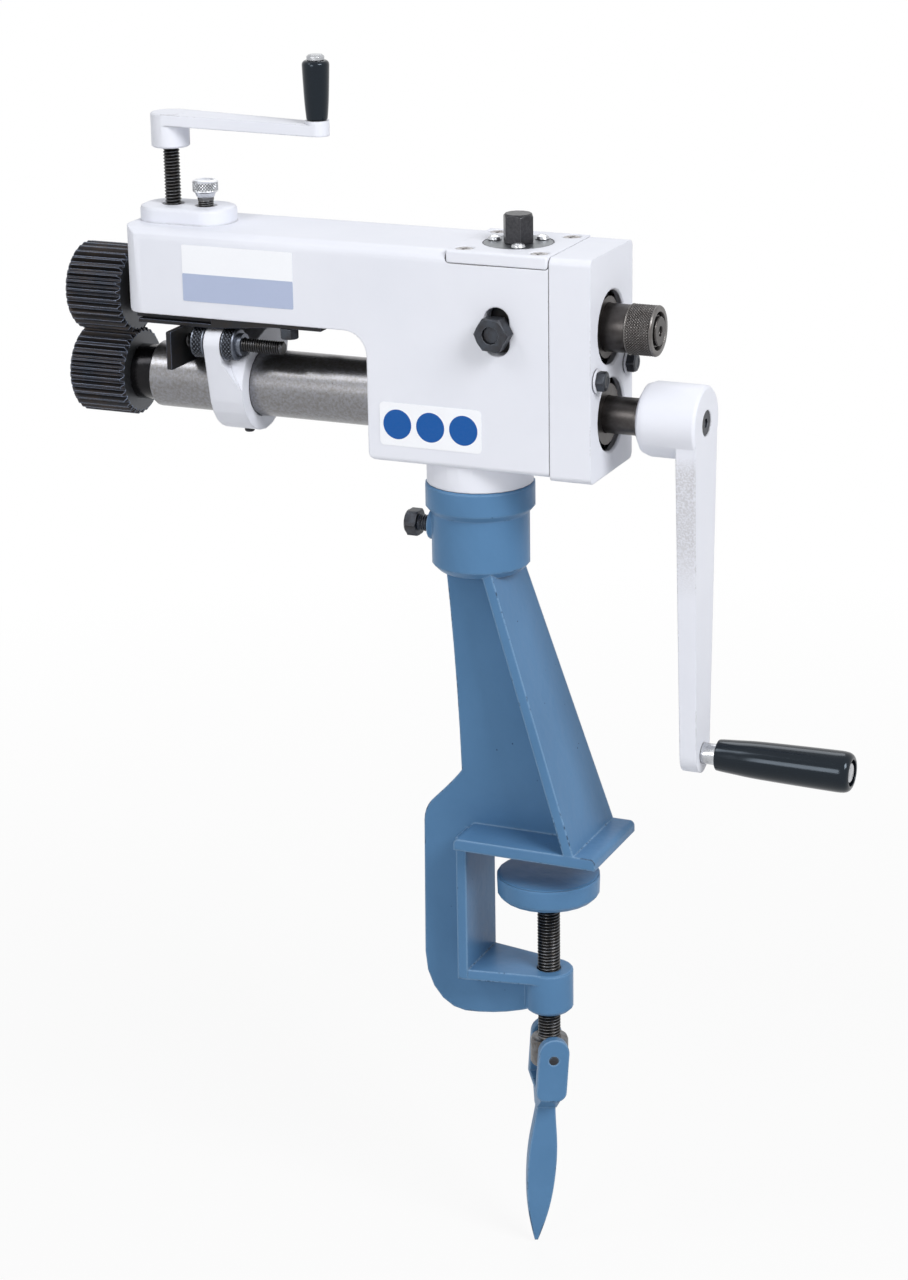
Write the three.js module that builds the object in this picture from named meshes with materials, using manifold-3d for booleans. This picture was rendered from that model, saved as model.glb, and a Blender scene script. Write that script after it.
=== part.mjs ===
// Hand-cranked crimping machine on a swivelling bench clamp stand.
// Millimetres, +Z up. The origin is where the clamp screw's axis meets the flat underside of the
// stand's upper jaw. +X points to the crank, +Y away from the side with the slot.

import * as THREE from 'three';
import { mergeVertices } from 'three/addons/utils/BufferGeometryUtils.js';
import Module from 'manifold-3d';

const wasm = await Module();
wasm.setup();

// Clearances
const seatGap = 0.3;
const runningGap = 0.3;
const castingGap = 0.5;

// Clamp stand: a C clamp of T section under a round socket
const clampScrewToColumn = 41;
const socketTop = 219;
const socketRimRadius = 32;
const socketRimHeight = 14;
const socketRimSlope = 3.6;
const socketRadius = 28.7;
const socketHeight = 52.5;
const socketRounding = 4;
const webThickness = 11;
const flangeThickness = 6.4;
const slopeFootReach = 28.7;
const slopeTopReach = 17;
const slopeTopWidth = 46;
const jawWidth = 66;
const jawThickness = 7;
const jawReach = 42.3;
const clampDepth = 44;
const clampOpening = 82;
const clampBackWidth = 44;
const clampBackDepth = 35;
const clampFootDepth = 35.5;
const clampCornerRadius = 26;
const shoulderHeight = 40;
const neckBack = 53;
const neckTopBack = 61.5;
const bossRadius = 14.7;
const bossHeight = 26.5;
const boltPadRadius = 9;
const boltPadOut = 2.2;
const boltPadBelowTop = 29.7;

// Swivel spigot under the head and the bolt that locks it
const spigotFlangeRadius = 31;
const spigotFlangeHeight = 14.7;
const spigotRadius = 24;
const spigotDepth = 42;
const lockBoltRadius = 5;
const lockBoltHeadAcross = 14.6;
const lockBoltHeadHeight = 8;
const lockBoltFree = 7.5;

// Clamp screw with its pad and folding handle
const clampScrewRadius = 7;
const padRadius = 31;
const padThickness = 15;
const padHubRadius = 15;
const padHubHeight = 3;
const padBelowSeat = 19.3;
const screwTipRadius = 4.6;
const screwTipLength = 9;
const screwHeadBelowSeat = 127;
const screwHeadRadius = 11.5;
const screwHeadHeight = 17.6;
const forkTurn = 31;
const forkSwing = 4;
const forkPinBelowHeadTop = 9.2;
const forkPinRadius = 2.7;
const forkEarThickness = 5.5;
const forkEarRadius = 9.2;
const forkEarRise = 4.5;
const forkEarDrop = 27.3;
const forkEarCorner = 6;
const forkBridge = 7;
const forkReach = 130;
const forkWidestAt = 76;
const forkBladeWidth = 17.6;
const forkBladeNeck = 10.5;
const forkBladeThickness = 7.5;
const forkTipThickness = 2.8;

// Head casting: a block body with a hollow arm over the throat
const headWidth = 66;
const topAboveShaft = 43.7;
const armBelowShaft = 6.3;
const throatToColumn = 55;
const bodyLength = 111;
const armLength = 157;
const throatFillet = 14;
const topEdgeRadius = 7;
const lowEdgeRadius = 3;
const noseRadius = 14;
const noseFoot = 6;
const armWall = 11;
const noseWall = 6.5;
const channelFloorBelowShaft = 22;
const pressBossLength = 58;
const pressBossWidth = 34;
const pressBossHeight = 9;
const screwHoleSink = 1.6;
const pressBossBevel = 2.5;

// Shafts, held one above the other
const shaftSpacing = 50;
const lowerShaftHeight = 31;
const lowerShaftRadius = 10.6;
const upperShaftRadius = 13.6;
const tubeRadius = 19.6;
const tubeWall = 5;
const tubeFreeLength = 149.7;
const tubeSeatDepth = 36;
const bushLength = 22;

// Crimping rolls
const rollWidth = 36.4;
const rollToNose = 6.5;
const rollTeeth = 32;
const rollRadius = 26.1;
const rollToothClearance = 0.5;
const rollRootShare = 0.38;
const rollTipShare = 0.1;
const rollChamfer = 2;
const rollBore = 9;
const rollCollarRadius = 16.4;
const rollNutAcross = 22;
const rollNutHeight = 4.6;
const rollNutProud = 0.6;

// Gears inside the cover
const gearTeeth = 20;
const gearAddendum = 2.5;
const gearToothClearance = 0.6;
const gearRootShare = 0.36;
const gearTipShare = 0.11;
const gearWidth = 15;
const gearInset = 1.5;

// Gear cover on the end of the body
const coverDepth = 24.4;
const coverWall = 5;
const windowLip = 1.8;
const coverDrop = 2.2;
const coverEdgeRadius = 4;
const shaftWindowRadius = 21;
const coverBoltAcross = 10.3;
const coverBoltHeadHeight = 5;
const coverBoltRadius = 3;
const coverBoltSide = 24;
const washerRadius = 6.8;
const washerThickness = 1.2;
const coverPostRadius = 6.4;

// Bearing blocks of the upper shaft
const blockRise = 20;
const frontBlockLength = 42;
const earBelowArm = 3.3;
const earLength = 50;
const earHeight = 6.4;
const earSkin = 4.5;
const liftTravel = 4.5;
const rearBlockLength = 26;
const rearBlockDrop = 20;
const rearBlockToColumn = 25;
const sideSlotWidth = 15.6;
const sideSlotHeight = 28;
const sideStudRadius = 4.8;
const sideNutAcross = 18;
const sideNutHeight = 9;
const sideStudSunk = 2;

// Pressing screw with its small crank
const pressScrewFromNose = 19;
const pressScrewRadius = 5;
const pressScrewFree = 33.5;
const topHubRadius = 11.3;
const topHubHeight = 19.8;
const topBarLength = 95;
const topBarThickness = 6.5;
const topBarFall = 2.2;
const topBarEndRadius = 7;
const smallGripRadius = 7.8;
const smallGripFoot = 6.2;
const smallGripLength = 33.5;
const smallPinRadius = 2.6;
const smallCapRadius = 5.1;
const smallCapHeight = 3;

// Knurled lock screw behind the pressing screw
const lockScrewSpacing = 21.5;
const lockScrewRadius = 4.8;
const lockHeadRadius = 7.6;
const lockHeadHeight = 7;
const lockNeckHeight = 3;
const lockScrewFree = 5;

// Cover plate on the body with the rear adjusting screw
const plateLength = 62;
const plateThickness = 7.2;
const plateCorner = 2.6;
const plateProud = 0.6;
const plateScrewInset = 8.5;
const plateScrewRadius = 5.6;
const plateScrewDepth = 3;
const adjustFlangeRadius = 20;
const adjustFlangeHeight = 1.6;
const adjustScrewRadius = 7;
const adjustHexAcross = 15.6;
const adjustHexHeight = 16.1;
const domeScrewRing = 15.4;
const domeScrewTurn = 52;
const domeScrewRadius = 4.1;
const domeScrewHeight = 2.6;
const domeScrewShank = 2;
const domeScrewLength = 5;

// Leaf springs under the arm
const leafLength = 96;
const leafWidth = 8.5;
const leafThickness = 2.2;
const leafTail = 22;
const leafFlat = 8;
const leafBoltAcross = 10;
const leafBoltHead = 6;
const leafBoltRadius = 2.9;
const leafBoltLength = 14;

// Gauge bracket clamped on the tube
const bracketLength = 21.5;
const bracketToNose = 53;
const nearLobeThickness = 10.5;
const bracketWall = 8.6;
const lobeSide = 25;
const lobeAboveTube = 28;
const lobeRadius = 9;
const gaugeRodRadius = 4;
const gaugeRodLength = 62;
const gaugePlateWidth = 32;
const gaugePlateHeight = 22.5;
const gaugePlateThickness = 3;
const gaugePlateDrop = 2.2;
const gaugePlateForward = 5.2;
const gaugePlateGap = 5;
const gaugeNutRadius = 9.6;
const gaugeNutLength = 8.6;
const gaugeNutCollar = 3;
const gaugeNutFace = 0.5;
const setScrewRadius = 3;
const setScrewProud = 2.6;

// Crank with its grip
const crankHubRadius = 21.3;
const crankHubLength = 36.5;
const crankHubGap = 20;
const crankLength = 195.5;
const crankArmThickness = 12;
const crankTipThickness = 10.2;
const crankTopWidth = 37;
const crankTipWidth = 23.5;
const hubScrewRadius = 7.2;
const hubScrewHeight = 2;
const gripPinRadius = 5;
const gripPinFree = 9;
const gripLength = 80;
const gripRadius = 11.9;
const gripNeck = 9.2;
const gripRecess = 7.6;
const gripPinHead = 5.6;
const gripScrewHeight = 3;
const thrustWasherRadius = 17.5;
const thrustWasherThickness = 2.4;
const upperWasherThickness = 2;
const shaftRingWidth = 2.5;
const shaftRingRadius = 11.8;

// Outer end of the upper shaft
const endShaftFree = 14.5;
const endSleeveLength = 13.7;
const endSleeveRadius = 14.4;
const endSpindleRadius = 9;
const endScrewRadius = 6.5;
const endScrewHeight = 2;

// Places worked out from the sizes above
const socketLow = socketTop - socketHeight;
const headBottom = socketTop + spigotFlangeHeight + seatGap;
const throatX = -throatToColumn;
const bodyEndX = throatX + bodyLength;
const noseX = throatX - armLength;
const upperShaftHeight = lowerShaftHeight + shaftSpacing;
const bodyHeight = upperShaftHeight + topAboveShaft;
const armBottom = upperShaftHeight - armBelowShaft;
const rollInnerX = noseX - rollToNose;
const rollOuterX = rollInnerX - rollWidth;
const channelHalf = headWidth / 2 - armWall;
const pressScrewX = noseX + pressScrewFromNose;
const lockScrewX = pressScrewX + lockScrewSpacing;
const blockTop = upperShaftHeight + blockRise;
const channelRoof = blockTop + liftTravel + castingGap;
const frontBlockDrop = armBelowShaft + earBelowArm;
const blockBoreRadius = upperShaftRadius + runningGap;
const coverX = bodyEndX + seatGap;
const coverEndX = coverX + coverDepth;
const gearX = coverX + gearInset;
const tubeEndX = throatX - tubeFreeLength;
const tubeBore = tubeRadius - tubeWall;
const plateTop = bodyHeight + plateProud;
const flangeLow = plateTop - adjustFlangeHeight;
const crankHubX = coverEndX + crankHubGap;
const crankEndX = crankHubX + crankHubLength;
const padTop = -padBelowSeat;
const bossTop = -clampOpening;

// Finishes
const whitePaint = { color: 0xe2e5ee, roughness: 0.45, metalness: 0.0 };
const bluePaint = { color: 0x587ea5, roughness: 0.4, metalness: 0.1 };
const blackSteel = { color: 0x2b2b2d, roughness: 0.5, metalness: 0.8 };
const darkSteel = { color: 0x4a4744, roughness: 0.45, metalness: 0.85 };
const brightSteel = { color: 0x9a9a9a, roughness: 0.35, metalness: 0.95 };
const silverSteel = { color: 0xc4c6ca, roughness: 0.25, metalness: 1.0 };
const blackPlastic = { color: 0x101012, roughness: 0.2, metalness: 0.0 };
const bronze = { color: 0xa5793e, roughness: 0.4, metalness: 0.9 };

const model = new THREE.Group();
const axisX = new THREE.Vector3(1, 0, 0);
const axisY = new THREE.Vector3(0, 1, 0);
const axisZ = new THREE.Vector3(0, 0, 1);

// Closed solid of a geometry: corners merged, empty triangles dropped, faces turned outward
function solid(geometry) {
  const bare = geometry.index ? geometry.toNonIndexed() : geometry.clone();
  bare.deleteAttribute('normal');
  bare.deleteAttribute('uv');
  const merged = mergeVertices(bare, 1e-4);
  const points = merged.attributes.position.array;
  const faces = [];
  const index = merged.index.array;
  const a = new THREE.Vector3();
  const b = new THREE.Vector3();
  const c = new THREE.Vector3();
  let volume = 0;
  for (let i = 0; i < index.length; i += 3) {
    const [p, q, r] = [index[i], index[i + 1], index[i + 2]];
    if (p === q || q === r || r === p) continue;
    a.fromArray(points, p * 3);
    b.fromArray(points, q * 3);
    c.fromArray(points, r * 3);
    volume += a.dot(b.cross(c));
    faces.push(p, q, r);
  }
  if (volume < 0) faces.reverse();
  const mesh = new wasm.Mesh({
    numProp: 3,
    vertProperties: new Float32Array(points),
    triVerts: new Uint32Array(faces),
  });
  return new wasm.Manifold(mesh);
}

// Turns a geometry so that its own x, y and z lie along the three given directions
function laid(geometry, x, y, z) {
  return geometry.applyMatrix4(new THREE.Matrix4().makeBasis(x, y, z));
}

function box(x0, x1, y0, y1, z0, z1) {
  const geometry = new THREE.BoxGeometry(x1 - x0, y1 - y0, z1 - z0);
  return solid(geometry.translate((x0 + x1) / 2, (y0 + y1) / 2, (z0 + z1) / 2));
}

function extruded(shape, depth, steps = 6) {
  return new THREE.ExtrudeGeometry(shape, { depth, bevelEnabled: false, curveSegments: steps });
}

// Outline in X and Z, as deep along Y as the two limits
function prismY(shape, y0, y1, steps) {
  const geometry = laid(extruded(shape, y1 - y0, steps), axisX, axisZ, axisY.clone().negate());
  return solid(geometry.translate(0, y1, 0));
}

// Outline in Y and Z, as deep along X as the two limits
function prismX(shape, x0, x1, steps) {
  const geometry = laid(extruded(shape, x1 - x0, steps), axisY, axisZ, axisX);
  return solid(geometry.translate(x0, 0, 0));
}

// Outline in X and Y, as deep along Z as the two limits
function prismZ(shape, z0, z1, steps) {
  return solid(extruded(shape, z1 - z0, steps).translate(0, 0, z0));
}

// Turned solid about X, from pairs of place along the axis and radius
function turnedX(profile, segments = 20) {
  const points = profile.map(([along, radius]) => new THREE.Vector2(radius, along));
  const geometry = new THREE.LatheGeometry(points, segments);
  return solid(laid(geometry, axisZ, axisX, axisY));
}

// Turned solid about Z, from pairs of height and radius
function turnedZ(profile, segments = 20) {
  const points = profile.map(([height, radius]) => new THREE.Vector2(radius, height));
  const geometry = new THREE.LatheGeometry(points, segments);
  return solid(laid(geometry, axisY, axisZ, axisX));
}

function rodX(radius, x0, x1, segments = 20) {
  return turnedX([[x0, 0], [x0, radius], [x1, radius], [x1, 0]], segments);
}

function rodZ(radius, z0, z1, segments = 20) {
  return turnedZ([[z0, 0], [z0, radius], [z1, radius], [z1, 0]], segments);
}

// Ring about X between two radii
function ringX(inner, outer, x0, x1, segments = 20) {
  return turnedX([[x0, inner], [x0, outer], [x1, outer], [x1, inner], [x0, inner]], segments);
}

// Rod about Z with its rims bevelled
function bevelledRodZ(radius, z0, z1, low, high, segments = 20) {
  return turnedZ([
    [z0, 0],
    [z0, radius - low],
    [z0 + low, radius],
    [z1 - high, radius],
    [z1, radius - high],
    [z1, 0],
  ], segments);
}

// Hexagonal bar about Z with its top corners turned off
function hexZ(across, z0, z1, chamfer = 1) {
  const corner = across / Math.sqrt(3);
  const bar = rodZ(corner, z0, z1, 6);
  return bar.intersect(bevelledRodZ(corner, z0, z1, 0, chamfer, 12));
}

// Rectangle between two corners with rounded corners, given as low and high radius
function rounded(x0, x1, y0, y1, low, high = low) {
  const shape = new THREE.Shape();
  shape.moveTo(x0 + low, y0);
  shape.absarc(x1 - low, y0 + low, low, -Math.PI / 2, 0);
  shape.absarc(x1 - high, y1 - high, high, 0, Math.PI / 2);
  shape.absarc(x0 + high, y1 - high, high, Math.PI / 2, Math.PI);
  shape.absarc(x0 + low, y0 + low, low, Math.PI, Math.PI * 1.5);
  return shape;
}

function polygon(points) {
  return new THREE.Shape(points.map(([x, y]) => new THREE.Vector2(x, y)));
}

// Outline round two circles: the straight sides touch both
function hull(x0, y0, r0, x1, y1, r1) {
  const angle = Math.atan2(y1 - y0, x1 - x0);
  const lean = Math.acos((r0 - r1) / Math.hypot(x1 - x0, y1 - y0));
  const shape = new THREE.Shape();
  shape.absarc(x1, y1, r1, angle - lean, angle + lean);
  shape.absarc(x0, y0, r0, angle + lean, angle - lean + Math.PI * 2);
  return shape;
}

// Mesh of a solid, in a group that carries it
function piece(name, body, finish, parent) {
  const { numProp, vertProperties, triVerts } = body.getMesh();
  const points = [];
  for (let i = 0; i < vertProperties.length; i += numProp) {
    points.push(vertProperties[i], vertProperties[i + 1], vertProperties[i + 2]);
  }
  const geometry = new THREE.BufferGeometry();
  geometry.setAttribute('position', new THREE.Float32BufferAttribute(points, 3));
  geometry.setIndex([...triVerts]);
  geometry.computeVertexNormals();
  const mesh = new THREE.Mesh(geometry, new THREE.MeshStandardMaterial(finish));
  mesh.name = name;
  parent.add(mesh);
  return mesh;
}

function groupAt(parent, x, y, z) {
  const group = new THREE.Group();
  group.position.set(x, y, z);
  parent.add(group);
  return group;
}

function radians(degrees) {
  return THREE.MathUtils.degToRad(degrees);
}

// Toothed disc about X: teeth of straight flanks, each given by its half width at root and tip
function toothedX(teeth, root, tip, rootShare, tipShare, shift, x0, x1) {
  const pitch = (Math.PI * 2) / teeth;
  const points = [];
  for (let i = 0; i < teeth; i += 1) {
    const middle = (i + shift) * pitch;
    const corners = [[root, -rootShare], [tip, -tipShare], [tip, tipShare], [root, rootShare]];
    for (const [radius, share] of corners) {
      const angle = middle + share * pitch;
      points.push([radius * Math.cos(angle), radius * Math.sin(angle)]);
    }
  }
  return prismX(polygon(points), x0, x1);
}

// Stand

// Web: the neck under the socket widens to the clamp's back and foot
function standWeb() {
  const back = -clampDepth - clampBackDepth;
  const foot = bossTop - clampFootDepth;
  const top = socketLow + socketRounding;
  const inFlange = flangeThickness / 2;
  const shape = new THREE.Shape();
  shape.moveTo(-neckTopBack, top);
  shape.quadraticCurveTo(-neckBack - 2, (top + shoulderHeight) / 2, -neckBack, shoulderHeight);
  shape.quadraticCurveTo(-neckBack - 5, shoulderHeight - 7, back + 8, shoulderHeight / 2);
  shape.quadraticCurveTo(back + 1.5, shoulderHeight / 2 - 6, back + 1, 5);
  shape.lineTo(back, bossTop);
  shape.bezierCurveTo(
    back, foot + clampCornerRadius / 2, back + clampCornerRadius / 2, foot,
    back + clampCornerRadius, foot,
  );
  shape.quadraticCurveTo(-bossRadius * 2, foot + 1, -bossRadius / 2, bossTop - bossHeight + 1);
  shape.lineTo(-bossRadius / 2, bossTop - inFlange);
  shape.lineTo(-clampDepth - inFlange, bossTop - inFlange);
  shape.lineTo(-clampDepth - inFlange, jawThickness / 2);
  shape.lineTo(slopeX(jawThickness / 2) - inFlange, jawThickness / 2);
  shape.lineTo(slopeX(top) - inFlange, top);
  return prismY(shape, -webThickness / 2, webThickness / 2, 5);
}

// Front face of the sloping flange: from the jaw's top straight up to the socket
function slopeX(height) {
  const topX = slopeTopReach - clampScrewToColumn;
  const share = (height - jawThickness) / (socketLow - jawThickness);
  return slopeFootReach + (topX - slopeFootReach) * share;
}

// Sloping flange along the web's front edge, wider at the jaw
function standSlope() {
  const low = jawThickness / 2;
  const high = socketLow + socketRounding;
  const shape = polygon([
    [slopeX(low), low],
    [slopeX(high), high],
    [slopeX(high) - flangeThickness, high],
    [slopeX(low) - flangeThickness, low],
  ]);
  const plan = polygon([
    [-jawWidth / 2, low],
    [jawWidth / 2, low],
    [slopeTopWidth / 2, high],
    [-slopeTopWidth / 2, high],
  ]);
  const reach = clampDepth + clampBackDepth;
  return prismY(shape, -jawWidth / 2, jawWidth / 2).intersect(prismX(plan, -reach, reach));
}

function standCasting() {
  const column = -clampScrewToColumn;
  const rimLow = socketTop - socketRimHeight;
  const socket = turnedZ([
    [socketLow, 0],
    [socketLow, socketRadius - socketRounding],
    [socketLow + socketRounding, socketRadius],
    [rimLow - socketRimSlope, socketRadius],
    [rimLow - socketRimSlope * 0.3, socketRimRadius - 0.8],
    [rimLow, socketRimRadius],
    [socketTop - 1, socketRimRadius],
    [socketTop, socketRimRadius - 1],
    [socketTop, 0],
  ], 24).translate(column, 0, 0);
  const boltHeight = socketTop - boltPadBelowTop;
  const pad = rodX(boltPadRadius, column - socketRadius - boltPadOut, column, 16)
    .translate(0, 0, boltHeight);
  const jawSide = rounded(-clampDepth - flangeThickness / 2, jawReach, 0, jawThickness, 0.5, 3);
  const jaw = prismY(jawSide, -jawWidth / 2, jawWidth / 2, 3);
  const back = box(
    -clampDepth - flangeThickness, -clampDepth, -clampBackWidth / 2, clampBackWidth / 2,
    bossTop - flangeThickness, jawThickness / 2,
  );
  const foot = prismZ(polygon([
    [-clampDepth - 2, -clampBackWidth / 2],
    [-bossRadius * 0.3, -bossRadius],
    [0, -bossRadius],
    [0, bossRadius],
    [-bossRadius * 0.3, bossRadius],
    [-clampDepth - 2, clampBackWidth / 2],
  ]), bossTop - flangeThickness, bossTop);
  const boss = bevelledRodZ(bossRadius, bossTop - bossHeight, bossTop, 2, 0.8);
  const bore = rodZ(spigotRadius + runningGap, socketTop - spigotDepth - 3, socketTop + 1, 24)
    .translate(column, 0, 0);
  const boltHole = rodX(lockBoltRadius + runningGap, column - socketRadius * 2, column, 12)
    .translate(0, 0, boltHeight);
  const screwHole = rodZ(clampScrewRadius + runningGap, bossTop - bossHeight - 1, bossTop + 1, 16);
  let casting = socket;
  for (const part of [pad, standWeb(), standSlope(), jaw, back, foot, boss]) casting = casting.add(part);
  return casting.subtract(bore).subtract(boltHole).subtract(screwHole);
}

// Bolt that locks the swivel: its tip presses the spigot
function swivelBolt() {
  const seat = -clampScrewToColumn - socketRadius - boltPadOut;
  const group = groupAt(model, seat, 0, socketTop - boltPadBelowTop);
  group.rotation.y = -Math.PI / 2;
  const tip = clampScrewToColumn + seat + spigotRadius + seatGap;
  const shank = bevelledRodZ(lockBoltRadius, tip, lockBoltFree + 1, 1, 0, 12);
  const head = hexZ(lockBoltHeadAcross, lockBoltFree, lockBoltFree + lockBoltHeadHeight, 1.2);
  piece('swivel_bolt', shank.add(head), darkSteel, group);
}

// Pad that presses the bench from below, hollow where the screw's tip turns in it
function clampPad(group) {
  const body = turnedZ([
    [-padThickness - padHubHeight, 0],
    [-padThickness - padHubHeight, padHubRadius - 2],
    [-padThickness, padHubRadius],
    [-padThickness, padRadius - 3],
    [-padThickness + 3, padRadius - 0.4],
    [-1, padRadius],
    [0, padRadius - 1],
    [0, 0],
  ], 24);
  const socketDepth = screwTipLength + seatGap;
  const low = -padThickness - padHubHeight;
  const socket = rodZ(screwTipRadius + runningGap, low - 1, low + socketDepth, 16);
  piece('clamp_pad', body.subtract(socket), bluePaint, group);
}

// Screw of the clamp: turned tip, threaded shank and a round head crossed by the fork's pin
function clampScrew(group) {
  const padLow = padTop - padThickness - padHubHeight;
  const headTop = -screwHeadBelowSeat;
  const headLow = headTop - screwHeadHeight;
  const shank = turnedZ([
    [headTop - 1, 0],
    [headTop - 1, clampScrewRadius],
    [padLow - seatGap, clampScrewRadius],
    [padLow - seatGap, screwTipRadius],
    [padLow + screwTipLength - 1, screwTipRadius],
    [padLow + screwTipLength, screwTipRadius - 1],
    [padLow + screwTipLength, 0],
  ], 18);
  const pinZ = headTop - forkPinBelowHeadTop;
  const pinReach = screwHeadRadius + forkEarThickness + seatGap;
  const pinHole = rodX(forkPinRadius + seatGap, -pinReach, pinReach, 12).rotate([0, 0, 90]);
  const head = bevelledRodZ(screwHeadRadius, headLow, headTop, 1.5, 1.5, 24)
    .subtract(pinHole.translate(0, 0, pinZ));
  piece('clamp_screw', shank.add(head), blackSteel, group);
  const pin = rodX(forkPinRadius, -pinReach, pinReach, 12).rotate([0, 0, 90]);
  piece('fork_pin', pin, darkSteel, group).position.z = pinZ;
}

// Folding fork handle: two ears on the pin, joined below the screw's head, and a flat pointed blade
function forkHandle(group) {
  const inner = screwHeadRadius + seatGap;
  const outer = inner + forkEarThickness;
  const half = forkBladeThickness / 2;
  const earSide = rounded(
    -forkEarRadius, forkEarRadius, -forkEarDrop, forkEarRise + forkEarRadius,
    forkEarCorner, forkEarRadius - 0.01,
  );
  const slotReach = forkEarDrop * 2;
  const slot = box(-slotReach, slotReach, -inner, inner, -forkEarDrop + forkBridge, slotReach);
  const pinHole = rodX(forkPinRadius + seatGap, -slotReach, slotReach, 12).rotate([0, 0, 90]);
  const neckLow = -forkEarDrop - forkBladeNeck;
  const neck = prismX(polygon([
    [-outer + 1, -forkEarDrop + 1],
    [-half, neckLow],
    [half, neckLow],
    [outer - 1, -forkEarDrop + 1],
  ]), -forkBladeNeck / 2 - 1, forkBladeNeck / 2 + 1);
  const blade = new THREE.Shape();
  const bladeHalf = forkBladeWidth / 2;
  blade.moveTo(forkBladeNeck / 2, -forkEarDrop);
  for (const sign of [1, -1]) {
    const neckX = sign * forkBladeNeck / 2;
    const wideX = sign * bladeHalf;
    const [nearNeck, nearTip] = [-forkEarDrop - 20, -forkReach + 15];
    if (sign > 0) {
      blade.bezierCurveTo(neckX, nearNeck, wideX, -forkWidestAt + 22, wideX, -forkWidestAt);
      blade.bezierCurveTo(wideX, -forkWidestAt - 26, wideX * 0.62, nearTip, 1, -forkReach);
      blade.lineTo(-1, -forkReach);
    } else {
      blade.bezierCurveTo(wideX * 0.62, nearTip, wideX, -forkWidestAt - 26, wideX, -forkWidestAt);
      blade.bezierCurveTo(wideX, -forkWidestAt + 22, neckX, nearNeck, neckX, -forkEarDrop);
    }
  }
  const taper = prismX(polygon([
    [-half, -forkEarDrop],
    [-half, -forkWidestAt],
    [-forkTipThickness / 2, -forkReach],
    [forkTipThickness / 2, -forkReach],
    [half, -forkWidestAt],
    [half, -forkEarDrop],
  ]), -forkBladeWidth, forkBladeWidth);
  const ears = prismY(earSide, -outer, outer, 5).subtract(slot).subtract(pinHole);
  const body = ears.add(neck).add(prismY(blade, -half, half, 10).intersect(taper));
  piece('fork_handle', body, bluePaint, group);
}

// Head

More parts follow.
